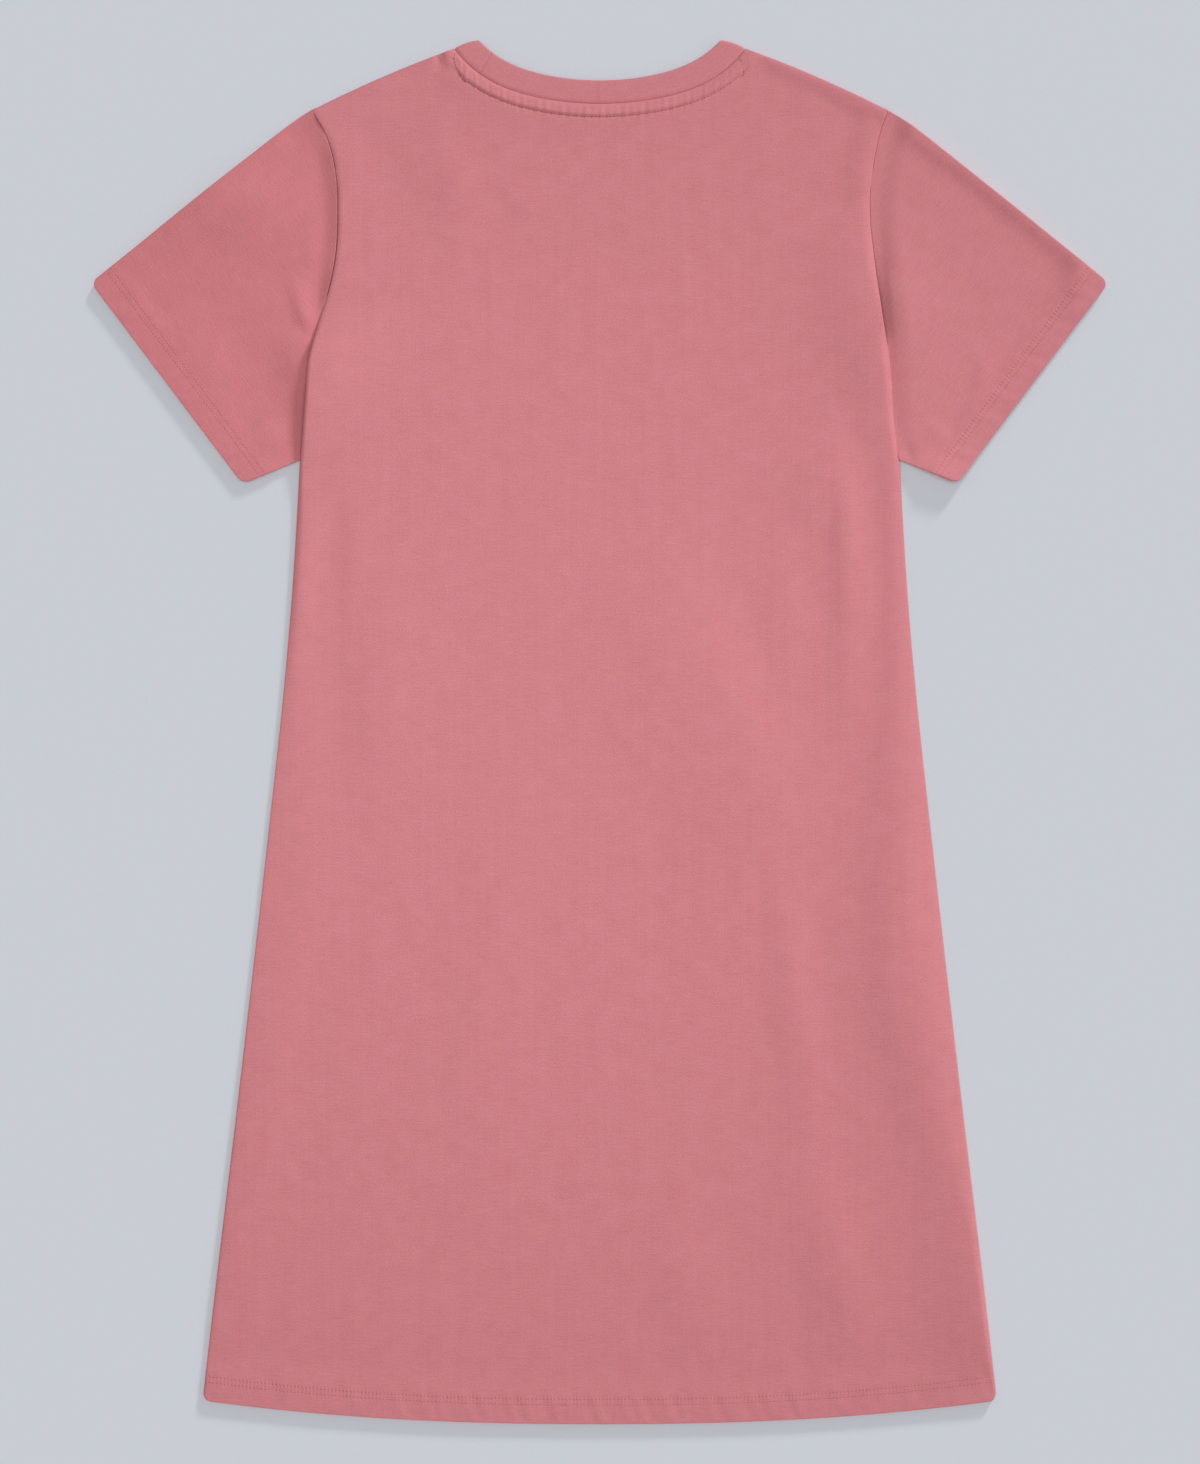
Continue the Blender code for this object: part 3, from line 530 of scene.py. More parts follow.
def thickness(hem_gap):
    """One layer of cloth, or two inside the turned-up hem."""
    return CLOTH * (2.0 - ease(HEM_DEPTH, HEM_DEPTH + HEM_STEP, hem_gap))


def rolled(roll, cloth, angle, outer):
    """Inset of a rolled edge's outer or inner surface at an angle up from the edge."""
    turn = np.cos(np.radians(angle))
    return (roll + cloth) * (1 - turn) if outer else roll + cloth - roll * turn


def rounded(side_gap, end_gap):
    """Moves points near a corner so that the corner becomes a quarter circle."""
    near = (side_gap < CORNER_RADIUS) & (end_gap < CORNER_RADIUS)
    a = 1 - np.minimum(side_gap, CORNER_RADIUS) / CORNER_RADIUS
    b = 1 - np.minimum(end_gap, CORNER_RADIUS) / CORNER_RADIUS
    new_side = CORNER_RADIUS * (1 - a * np.sqrt(1 - b * b / 2))
    new_end = CORNER_RADIUS * (1 - b * np.sqrt(1 - a * a / 2))
    return np.where(near, new_side, side_gap), np.where(near, new_end, end_gap)


def blunted(top, bottom, hem_gap):
    """Brings the two surfaces together at a hem's folded edge."""
    open_share = np.sqrt(1 - (1 - np.minimum(hem_gap, EDGE_TAPER) / EDGE_TAPER) ** 2)
    share = between(EDGE_BLUNT, 1, open_share)
    middle = (top + bottom) / 2
    return between(middle, top, share), between(middle, bottom, share)


# %% [markdown]
# ## Body panels
#
# The back and the front are each cut in one from the hem to the shoulders. Such a panel could be a
# filled outline, but its triangles would crease. Here it is a grid: a share across from side to side,
# and a share up from the hem to the neck or shoulder. Its columns crowd at the rolled side edges and
# round the neck, and its rows crowd at the hem and along the neck seam, where the stitches pull the
# cloth into small dips.

# %% Panel rows and columns
ROLL = (0.0, 22.5, 45.0, 67.5, 90.0)
SIDE_INSETS = (0.0034, 0.0042, 0.0052, 0.0068, 0.0086, 0.0106, 0.0130)
FINE_INSETS = (0.0, 0.0001, 0.0003, 0.0005, EDGE_TAPER, 0.0018, 0.0032, 0.0044, CORNER_RADIUS)
HEM_ROWS = (0.0135, 0.0173)  # the two rows of the twin needle, above the folded edge
DIP_STEPS = (-0.0008, -0.0004, 0.0, 0.0004, 0.0008)
LOWER_DIP, UPPER_DIP = (tuple(row + step for step in DIP_STEPS) for row in HEM_ROWS)
HEM_INSETS = (*FINE_INSETS, 0.0080, 0.0105, *LOWER_DIP, 0.0154, *UPPER_DIP)


def panel_columns(shares, neck_columns):
    """Columns from left to right: what kind each is, its value, and whether it is mirrored."""
    neck_share = NECK_HALF / TIP_HALF / 2
    half = [("roll", angle, False) for angle in ROLL]
    half += [("inset", gap, False) for gap in SIDE_INSETS]
    half += [("share", share, False) for share in shares]
    half += [("share", 0.5 - neck_share * s, False) for s in np.linspace(1.0, 0.0, neck_columns + 1)]
    return half + [(kind, value, True) for kind, value, _ in reversed(half[:-1])]


def panel_rows(hem_insets, row_step, top_insets, room):
    """Rows from hem to top: ("hem", gap), ("level", v), ("top", gap) or ("roll", angle).

    room is what the top rows need below them, in their depth: more where the neck is steeper.
    """
    span = TIP_Y - HEM_CORNER_Y
    first = HEM_CORNER_Y + hem_insets[-1] + row_step / 2
    last = TIP_Y - span * top_insets[0] * room / (NECK_CORNER_Y - HEM_Y)
    levels = np.linspace(first, last, round((last - first) / row_step) + 1)
    rows = [("hem", gap) for gap in hem_insets]
    rows += [("level", (y - HEM_CORNER_Y) / span) for y in levels]
    rows += [("top", gap) for gap in top_insets]
    return rows + [("roll", angle) for angle in reversed(ROLL)]


# %% Panel outline
STEEPEST = 1.5  # slope of the neck curve that is allowed for at most
UPRIGHT = (0.86, 0.97)  # share up the front over which its middle columns turn upright


class Panel:
    """The flat outline of a body panel, read by shares u across and v from the hem to the top."""

    def __init__(self, neck, left, right, face_up):
        self.neck, self.left, self.right, self.face_up = neck, left, right, face_up

    def edges(self, v):
        y = between(HEM_CORNER_Y, TIP_Y, v)
        return -edge_half(y, self.left), edge_half(y, self.right), y

    def limits(self, u):
        """Hem height and top height along a column."""
        return hem_height((2 * u - 1) * HEM_HALF), top_height(self.neck, (2 * u - 1) * TIP_HALF)

    def point(self, u, v):
        left, right, _ = self.edges(v)
        hem, top = self.limits(u)
        x = between(left, right, u)
        if not self.face_up:
            inner = 1 - ease(NECK_HALF / TIP_HALF, 1.0, np.abs(2 * u - 1))
            spread = (TIP_HALF - (right - left) / 2) * ease(*UPRIGHT, v)
            x = x + (2 * u - 1) * spread * inner
        return x, between(hem, top, v)

    def top_speed(self, u):
        """How fast v leaves the top edge, measured square to that edge."""
        hem, top = self.limits(u)
        side = np.where(u < 0.5, 1.0, -1.0)
        inner = top_height(self.neck, (2 * u - 1) * TIP_HALF + side * PROBE)
        slope = np.minimum(np.abs(inner - top) / PROBE, STEEPEST)
        return (top - hem) / np.hypot(1.0, slope)


# %% Panel edges
CURL = 60.0  # degrees that the back's left edge curls in under itself
EDGE_CUT = 0.0006
SEWN_CUT = 0.00006
UNDERARM_CUT = (0.232, 0.034, 0.0030)  # height, half width and depth
LEFT_SHOULDER_ROLL = 0.0024


def on_neck(x):
    return np.abs(x) < NECK_HALF - PROBE


def sewn_side(edge_y):
    return edge_y < UNDERARM_Y - JOIN


def top_rolls(x):
    """Radius of the rolled top edge: tight in the neck seam, softest at the left shoulder's tip."""
    side_roll = between(SIDE_ROLL, LEFT_SHOULDER_ROLL, ease(-NECK_HALF, -TIP_HALF, x))
    return np.where(on_neck(x), SEAM_ROLL, side_roll)


def curled(angle, curls):
    """Angle up from the widest point of an edge that may curl in under itself, and its rise."""
    turned = np.where(curls, angle * (90.0 + CURL) / 90.0 - CURL, angle)
    low = np.where(curls, np.sin(np.radians(CURL)), 0.0)
    return turned, (np.sin(np.radians(turned)) + low) / (1.0 + low)


def undercut(edge_y):
    """How far the curled edge turns in under itself: most below the fold at the underarm."""
    place, half, depth = UNDERARM_CUT
    free = (EDGE_CUT + depth * bump(edge_y - place, half)) * (1 - ease(*SEAM_SEEN, edge_y))
    return np.maximum(free, SEWN_CUT)


# %% Panel grid
TOP_SHIFT = (0.0010, 0.0160)  # rows this near the top move inwards where its edge rolls more


def panel_grid(panel, columns, rows, outer):
    """Points of one surface of a panel, with what its height depends on."""
    kinds, values, mirrored = (np.array(part) for part in zip(*columns))
    half_u = np.where(kinds == "share", values, 0.0)
    u = np.where(mirrored, 1 - half_u, half_u)
    hem, top = panel.limits(u)
    speed = panel.top_speed(u)
    top_roll = top_rolls((2 * u - 1) * TIP_HALF)
    v = np.zeros((len(rows), len(columns)))
    rise = np.ones(v.shape)
    for j, (kind, value) in enumerate(rows):
        if kind == "hem":
            v[j] = value / (top - hem)
        elif kind == "level":
            v[j] = value
        elif kind == "top":
            v[j] = 1 - (value + (top_roll - SEAM_ROLL) * (1 - ease(*TOP_SHIFT, value))) / speed
        else:
            v[j] = 1 - rolled(top_roll, CLOTH, value, outer) / speed
            rise[j] = np.sin(np.radians(value))
    hem_gap = v * (top - hem)
    left, right, edge_y = panel.edges(v)
    width = right - left
    side_roll = np.where(sewn_side(edge_y), SIDE_ROLL, SEAM_ROLL)
    turned, side_rise = curled(values, ~mirrored & panel.face_up)
    roll_gap = rolled(side_roll, thickness(hem_gap), np.maximum(turned, 0.0), outer)
    below = 1 - np.cos(np.radians(np.minimum(turned, 0.0)))
    roll_gap = roll_gap + undercut(edge_y) * below / (1 - np.cos(np.radians(CURL)))
    side_gap = np.where(kinds == "roll", roll_gap, np.where(kinds == "inset", values, half_u * width))
    rise = rise * np.where(kinds == "roll", side_rise, 1.0)
    new_side, new_hem = rounded(side_gap, hem_gap)
    share = new_side / width
    is_hem = np.array([kind == "hem" for kind, _ in rows])[:, None]
    moved_v = np.where(is_hem, new_hem / (top - hem), v)
    x, y = panel.point(np.where(mirrored, 1 - share, share), moved_v)
    return {
        "x": x, "y": y, "edge_y": edge_y, "side_gap": side_gap, "top_gap": (1 - moved_v) * speed,
        "hem_gap": hem_gap, "rise": rise, "roll_column": kinds == "roll",
    }


def make_panel(name, panel, columns, rows, lie):
    """A panel's shell. lie gives a surface's height, and its base at the sides and at the top."""
    grids, heights = [], []
    for outer in (panel.face_up, not panel.face_up):
        grid = panel_grid(panel, columns, rows, outer)
        full, side_base, top_base = lie(grid, outer)
        base = np.where(grid["roll_column"], side_base, top_base)
        grids.append(grid)
        heights.append(between(base, full, grid["rise"]))
    heights = blunted(*heights, grids[0]["hem_gap"])
    shells = [np.dstack([g["x"], g["y"], z]) for g, z in zip(grids, heights)]
    cut = shells[0 if panel.face_up else 1][..., :2]
    print(f"{name}: {len(rows)} rows and {len(columns)} columns")
    return cloth_shell(name, *shells, cut)


# %% [markdown]
# ## The back
#
# The back is the piece that is seen. It lies on the front, and is lifted along its side seams, where
# the seam allowance is turned inside, along the armholes, and round the neck, where the tape and the
# front band lie below it. The topstitch that holds the tape pulls a groove into the cloth, and the
# strip above it puckers. It could be sculpted by hand, but a sum of small formulas keeps each of these
# forms apart, so that one can be changed without touching the rest.

# %% Edge and neck lifts
# Beside each side edge the cloth swells to a crest: its height above LAY, how far in from the edge it
# stands, and how far it takes to fade inwards, all in millimetres.
EDGES = table(
    "height left left_crest left_fade right right_crest right_fade",
    (-470, 0.2, 10, 20, 1.6, 2, 30),
    (-450, 0.2, 10, 20, 2.1, 2, 30),
    (-398, 0.3, 12, 20, 2.4, 4, 30),
    (-328, 0.5, 15, 20, 2.2, 10, 30),
    (-258, 0.6, 18, 20, 3.2, 22, 30),
    (-188, 0.7, 22, 20, 4.8, 31, 29),
    (-118, 0.8, 25, 20, 4.8, 29, 26),
    (-48, 0.9, 22, 18, 3.2, 21, 20),
    (22, 1, 10, 16, 1.8, 13, 12),
    (92, 1.6, 6, 15, 1.1, 9, 8),
    (148, 2, 5, 15, 1.1, 7, 8),
    (184, 2.6, 1.2, 26, 1.6, 5, 14),
    (200, 4.5, 0.9, 34, 2, 5, 20),
    (220, 6.6, 0.9, 40, 2.6, 5, 30),
    (250, 8.2, 0.9, 42, 4.6, 6, 40),
    (262, 8, 0.9, 40, 5.2, 6, 42),
    (283, 3, 1.6, 34, 5.4, 7, 40),
    (307, 2.6, 2.4, 30, 4.8, 7, 38),
    (333, 2.5, 2.4, 24, 3.8, 7, 32),
    (360, 2.4, 2.4, 24, 2, 7, 14),
    (386, 2.2, 2.4, 22, 1.8, 7, 11),
    (420.2, 2, 2.4, 18, 1.8, 7, 10),
    (435.4, 1.8, 3, 14, 1.6, 6, 12),
)
# The edge itself rolls down to its base: the hem, the front's seam allowance or the tucked sleeve.
TUCK_BASE = TUCK_TOP + 0.00035
BASE_HEIGHTS = (-0.4500, -0.3980, 0.1480, 0.1840, 0.4202, 0.4354)
BASES = (
    HEM_TOP - 2 * CLOTH, SEAM_BASE_BACK, SEAM_BASE_BACK, TUCK_BASE, TUCK_BASE, SEAM_BASE_BACK,
)
# Share of the swell that stays at an edge sewn to a sleeve: near the underarm, and above it.
EDGE_KEEP = {"left": (0.6, 0.6), "right": (1.0, 0.4)}
KEEP_HEIGHTS = (0.295, 0.325)
# The swell's long tail: its height, where along y it is highest, and its half widths along y and x.
TAIL_HEIGHTS = {"left": 0.0034, "right": 0.0}
TAIL_MIDDLE, TAIL_HALF, TAIL_REACH = 0.245, 0.075, 0.110
# The ridge along a shoulder seam: height, inset, outer and inner fall, and how far out it starts.
SHOULDERS = {
    "left": (0.0022, 0.0070, 0.0060, 0.016, 0.070),
    "right": (0.0026, 0.0016, 0.0100, 0.010, 0.020),
}
NECK_LIFT = table(
    "distance lift", (0, 2.1), (1.5, 2.6), (4.5, 3.1), (7.8, 3.2), (9.2, 2.8), (10.4, 2.3), (13.5, 2.1),
    (20, 1.7), (45, 1.1), (65, 1), (110, 0),
)


def swell(side, edge_y, gap):
    """A dome from the side edge to its crest, and a soft fall from there inwards."""
    height, crest, fade = (read(EDGES, side + part, edge_y) for part in ("", "_crest", "_fade"))
    keep = between(*EDGE_KEEP[side], ease(*KEEP_HEIGHTS, edge_y))
    drop = 1 - keep * ease(*SEAM_SEEN, edge_y)
    dome = 1 - drop * (1 - np.minimum(gap, crest) / crest) ** 2
    tail = TAIL_HEIGHTS[side] * bump(edge_y - TAIL_MIDDLE, TAIL_HALF)
    fall = (height - tail) * bump(gap - crest, fade) + tail * bump(gap - crest, TAIL_REACH)
    return np.where(gap < crest, height * dome, fall)


def shoulder_ridge(side, x, gap):
    """A low ridge along a shoulder seam, where four layers meet inside."""
    height, inset, outer_fall, inner_fall, start = SHOULDERS[side]
    ridge = height * bump(gap - inset, np.where(gap < inset, outer_fall, inner_fall))
    return ridge * ease(NECK_HALF, NECK_HALF + start, np.abs(x))


# %% Stitch dips and puckers
NEEDLE_DIP = 0.00004
NEEDLE_HALF = 0.0007
RIPPLE = 0.00009  # height of each of the crossing ripples that a coverstitch pulls into a hem
RIPPLE_LENGTHS = (0.0100, 0.0155, 0.0240)
RIPPLE_TURN = 40.0  # sets the ripples off against each other
RIPPLE_LEAN = 0.35
RIPPLE_START = 0.004
RIPPLE_END = 0.026  # above the hem's edge
TOPSTITCH = 0.0092  # from the neck seam to the topstitch that holds the tape
TOPSTITCH_DIP = 0.0009
TOPSTITCH_HALF = 0.0009
PUCKER = 0.00017
PUCKER_LENGTH = 0.0058
PUCKER_SWAY = (1.2, 70.0)
PUCKER_SECOND = (0.6, 0.0093, 1.7)  # share, length and start of a second wave
PUCKER_START = 0.003
PUCKER_END = (TOPSTITCH - 0.001, TOPSTITCH + 0.006)
NECK_STRETCH = 0.25  # how much longer the neck line is than its width, near its ends
TOPSTITCH_LINE = np.concatenate([
    np.array([
        (-101.4, 475.2), (-101.7, 473.5), (-101.9, 471.6), (-101.4, 468.4), (-100.4, 465.0),
        (-99.0, 461.5), (-97.0, 458.2), (-94.4, 455.3),
    ]) / 1000,
    neck_point("back_seam", np.linspace(-0.0860, 0.0900, 120), -TOPSTITCH),
    np.array([
        (99.4, 459.0), (100.6, 460.8), (100.8, 463.0), (100.2, 465.5), (99.3, 468.0),
        (98.2, 470.0), (97.0, 471.6),
    ]) / 1000,
])
TOPSTITCH_FINE, _ = even_points(TOPSTITCH_LINE, 0.0010)


def needle_rows(gap):
    """Dips that the twin needle's two rows pull into a hem."""
    return sum(bump(gap - row, NEEDLE_HALF) for row in HEM_ROWS) * NEEDLE_DIP


def hem_ripples(along, gap):
    """Soft ripples across a hem, which lean a little and fade above the needle's rows."""
    lean = along + RIPPLE_LEAN * gap
    total = sum(np.sin(2 * np.pi * lean / size + RIPPLE_TURN * size) for size in RIPPLE_LENGTHS)
    return RIPPLE * total * ease(0.0, RIPPLE_START, gap) * (1 - ease(HEM_DEPTH, RIPPLE_END, gap))


def neck_relief(x, y, distance):
    """The topstitch's groove and the puckers on both sides of it."""
    arc = x * (1 + NECK_STRETCH * (x / NECK_HALF) ** 2)
    sway, often = PUCKER_SWAY
    share, length, start = PUCKER_SECOND
    ripple = np.sin(2 * np.pi * arc / PUCKER_LENGTH + sway * np.sin(arc * often))
    ripple += share * np.sin(2 * np.pi * arc / length + start)
    inside = ease(0.0, PUCKER_START, distance) * (1 - ease(*PUCKER_END, distance))
    stitch = line_place(x, y, TOPSTITCH_FINE)[0]
    return PUCKER * ripple * inside - TOPSTITCH_DIP * bump(stitch, TOPSTITCH_HALF)


# %% How the back lies
HEM_FADE = (HEM_DEPTH + HEM_STEP, 0.038)
HEM_FLATTENS = 0.7
# Height, where it stands above the hem's edge, and how far it takes to fall below and above.
HEM_SWELL = (0.0012, 0.070, 0.042, 0.160)
FOLDS_NEAR_NECK = (0.030, 0.090)
FOLDS_NEAR_SIDE = (0.0, 0.008)
BACK_WAVES = (4, 0.055, 0.00022)  # seed, size and height
LOWEST = LAY - 0.0001


def by_side(x, form, *at):
    """A form that has its own measures on the left and on the right."""
    return np.where(x < 0, form("left", *at), form("right", *at))


def back_top(grid):
    """Height of the back's outer surface before its edges roll down."""
    x, y, side_gap, hem_gap = (grid[name] for name in ("x", "y", "side_gap", "hem_gap"))
    distance = line_place(x, y, NECK_LINE)[0]
    side = by_side(x, swell, grid["edge_y"], side_gap)
    neck = read(NECK_LIFT, "lift", distance)
    shoulder = by_side(x, shoulder_ridge, x, grid["top_gap"])
    soft = crests(x, y, BACK_CRESTS) + waves(x, y, *BACK_WAVES)
    soft = soft * ease(*FOLDS_NEAR_NECK, distance) * ease(*FOLDS_NEAR_SIDE, side_gap)
    height, place, below, above = HEM_SWELL
    soft = soft + height * bump(hem_gap - place, np.where(hem_gap < place, below, above))
    in_hem = 1 - ease(*HEM_FADE, hem_gap)
    lift = joined(side, neck, shoulder) + soft
    top = LAY + lift * (1 - HEM_FLATTENS * in_hem) + (HEM_TOP - LAY) * in_hem
    top = top + crests(x, y, BACK_NIPS) + neck_relief(x, y, distance) + hem_ripples(x, hem_gap)
    return np.maximum(top - needle_rows(hem_gap), LOWEST)


# %% Back piece
BACK = Panel("back_seam", "back_left", "back_right", face_up=True)
BACK_TOP_INSETS = (*np.linspace(0.0340, 0.0160, 9), *np.linspace(0.0150, 0.0028, 17))


def lie_of_back(grid, outer):
    full = back_top(grid)
    lying = np.interp(grid["edge_y"], BASE_HEIGHTS, BASES)
    side_base = between(lying, full - CLOTH, ease(*SEAM_SEEN, grid["edge_y"]))
    top_base = np.where(on_neck(grid["x"]), full - CLOTH, SEAM_BASE_BACK)
    return full - (0.0 if outer else thickness(grid["hem_gap"])), side_base, top_base


back_rows = panel_rows(
    (*HEM_INSETS, 0.0195, 0.0215, 0.0245, 0.0280), 0.0060, top_insets=BACK_TOP_INSETS, room=1.75
)
back_columns = panel_columns(shares=np.linspace(0.040, 0.240, 31), neck_columns=76)
back = make_panel("back_cloth", BACK, back_columns, back_rows, lie_of_back)

# %% [markdown]
# ## The front
#
# The front lies face down on the table, so its underside is flat. Its neckline is cut deeper than the
# back's, and its armholes are cut further in. Under the back a rough sheet would do, but its neck and
# its underside show when the dress is turned over, so it is made on the same grid, only coarser.

# %% Front piece
FRONT = Panel("front_seam", "front", "front", face_up=False)
UNDER_DIP = 0.00036  # how far the needle rows pull the front's underside up off the table


def under_rows(gap):
    return needle_rows(gap) * UNDER_DIP / NEEDLE_DIP


def lie_of_front(grid, outer):
    cloth = thickness(grid["hem_gap"])
    sewn = sewn_side(grid["edge_y"]) & (grid["hem_gap"] > HEM_DEPTH)
    at_tip = grid["edge_y"] > TIP_Y - JOIN
    side_base = np.where(sewn | at_tip, SEAM_BASE_FRONT, cloth)
    top_base = np.where(on_neck(grid["x"]), cloth, SEAM_BASE_FRONT)
    return under_rows(grid["hem_gap"]) if outer else cloth, side_base, top_base


front_rows = panel_rows(
    (*HEM_INSETS, 0.0200, 0.0250), 0.0100, top_insets=(0.0110, 0.0070, 0.0040), room=1.95
)
front_columns = panel_columns(shares=np.linspace(0.045, 0.235, 13), neck_columns=36)
front = make_panel("front_cloth", FRONT, front_columns, front_rows, lie_of_front)

# %% [markdown]
# ## The sleeves
#
# A sleeve is a tube that lies flat: a fold along its top edge, a seam along its lower edge, and two
# layers between. It could be two sheets joined at their edges, but one grid wrapped all round has no
# joint to hide. Each layer is a patch between the cuff, the armhole and those two edges. At the
# underarm the upper layer is tucked under the back, which hangs over it in a small fold.

# %% Sleeve outline
CUFF_LOW = np.array((0.2500, 0.1737))
CUFF_HIGH = np.array((0.3562, 0.3146))
SLEEVE_BULGE = 0.0028
SLEEVE_BULGE_REACH = 0.010


def apart(a, b):
    return np.hypot(b[0] - a[0], b[1] - a[1])


class SleeveCut:
    """The flat outline of both layers of a sleeve, drawn on the +X side."""

    def __init__(self, back_name):
        self.back_name = back_name

    def armhole(self, upper, w):
        y = between(UNDERARM_Y, TIP_Y, w)
        tuck = np.interp(y, ARMHOLE["height"], ARMHOLE["tuck"])
        lower = read(ARMHOLE, "front", y) + SEAM_GAP
        return np.where(upper, read(ARMHOLE, self.back_name, y) - tuck, lower), y

    def top_edge(self, along):
        """Folded top edge from the cuff, at 0, to the shoulder tip, at 1."""
        tip_x = TIP_HALF + SEAM_GAP
        x = between(CUFF_HIGH[0], tip_x, along)
        y = between(CUFF_HIGH[1], TIP_Y + SLEEVE_BULGE, along)
        return x, y - SLEEVE_BULGE * np.exp(-(x - tip_x) / SLEEVE_BULGE_REACH)

    def point(self, upper, w, along):
        """A point w up the sleeve from its lower edge, and so far along from cuff to armhole."""
        arm, arm_low, arm_high = (self.armhole(upper, share) for share in (w, 0 * w, 0 * w + 1))
        edge = self.top_edge(along)
        result = []
        for k in (0, 1):
            cuff = between(CUFF_LOW[k], CUFF_HIGH[k], w)
            low = between(CUFF_LOW[k], arm_low[k], along)
            ends = (1 - along) * cuff + along * arm[k]
            sides = (1 - w) * low + w * edge[k]
            corners = (1 - along) * cuff + along * ((1 - w) * arm_low[k] + w * arm_high[k])
            result.append(ends + sides - corners)
        return result

    def length(self, upper, w):
        return apart(self.point(upper, w, 0 * w), self.point(upper, w, 0 * w + 1))

    def width(self, upper, along):
        return apart(self.point(upper, 0 * along, along), self.point(upper, 0 * along + 1, along))


# %% How a sleeve lies
# Lift at the armhole seam, lift of the sleeve's middle, height of the ridge along its folded edge,
# and how far its sewn edge sinks, as a share of the cloth.
SLEEVE_LIE = {"left": (0.0029, 0.0002, 0.0008, 0.6), "right": (0.0000, 0.0022, 0.0030, 0.2)}
SLEEVE_SEEN = (0.284, 0.310)  # over which the lift at the left armhole seam begins
SEAM_FALLS = (0.004, 0.0135)  # how far the lift at the seam reaches, near the underarm and above it
SEAM_FALL_HEIGHTS = (0.283, 0.335)
SEAM_FALL_POWER = 1.5
SEAM_FADE = 0.6
SEAM_FADE_HEIGHTS = (0.395, 0.430)
SLEEVE_FREE = (0.002, 0.018)
SLEEVE_FREE_LIFT = 0.0001
SLEEVE_FOLD_REACH = (0.004, 0.024)
SLEEVE_WAVES = (9, 0.045, 0.00015)  # seed, size and height
MIDDLE_START = (0.022, 0.075)  # from the cuff inwards, where the lift of the middle begins
SLEEVE_RIDGE = (0.0018, 0.0085)  # how far in from the folded edge it stands, and its half width
RIDGE_TO_EDGE = (0.220, 0.265)  # where along the sleeve it comes right up to the edge
CUFF_FADE = (HEM_DEPTH + HEM_STEP, 0.030)
CUFF_FLATTENS = 0.8


def sleeve_height(x, y, name, top_gap, layer_y, cuff_gap, arm_gap):
    """Height of the sleeve's outer upper surface before its edges roll down."""
    seam_lift, middle_lift, ridge_lift, _ = SLEEVE_LIE[name]
    folds, nips = SLEEVE_FOLDS[name]
    seen = ease(*SLEEVE_SEEN, layer_y)
    fall = between(*SEAM_FALLS, ease(*SEAM_FALL_HEIGHTS, layer_y))
    at_seam = seam_lift * seen * np.clip(1 - arm_gap / fall, 0.0, 1.0) ** SEAM_FALL_POWER
    at_seam = at_seam * (1 - SEAM_FADE * ease(*SEAM_FADE_HEIGHTS, layer_y))
    away = ease(*SLEEVE_FOLD_REACH, arm_gap)
    inset, half = SLEEVE_RIDGE
    inset = inset * (1 - ease(*RIDGE_TO_EDGE, np.abs(x)))
    ridge = ridge_lift * bump(np.maximum(top_gap - inset, 0.0), half) * away
    middle = middle_lift * ease(*MIDDLE_START, cuff_gap)
    soft = (crests(x, y, folds) + waves(x, y, *SLEEVE_WAVES) + middle) * away
    in_cuff = 1 - ease(*CUFF_FADE, cuff_gap)
    lying = TUCK_TOP + SLEEVE_FREE_LIFT * np.maximum(seen, ease(*SLEEVE_FREE, arm_gap))
    lift = at_seam + np.maximum(soft, 0.0) + ridge
    height = lying + lift * (1 - CUFF_FLATTENS * in_cuff) + (HEM_TOP - lying) * in_cuff
    along = GRAIN[0] * y - GRAIN[1] * np.abs(x)
    return height + crests(x, y, nips) + hem_ripples(along, cuff_gap)


# %% Sleeve pieces
SLEEVE_STEP = 0.0020
SLEEVE_END = 0.002
SLEEVE_ROLL = 0.0002
SLEEVE_SHARES = np.linspace(0.020, 0.980, 82)
TUBE_ROLL = (0.0, 15.0, 30.0, 45.0, 60.0, 75.0, 90.0)
WIDEST = 0.85  # share of a sleeve's height at which its folded edges reach furthest out


def sleeve_rows(length, outer):
    """Distance from the cuff at each row and place, and how far each row has risen at its end."""
    first = HEM_INSETS[-1]
    reach = length - first - SLEEVE_END
    steps = int(round(reach.mean() / SLEEVE_STEP))
    gaps = [np.full_like(length, gap) for gap in HEM_INSETS]
    gaps += [first + k / steps * (reach - JOIN) for k in range(1, steps + 1)]
    gaps += [length - rolled(SEAM_ROLL, CLOTH, turn, outer) for turn in reversed(ROLL)]
    rise = np.ones((len(gaps), 1))
    rise[-len(ROLL):, 0] = np.sin(np.radians(ROLL[::-1]))
    return np.array(gaps), rise


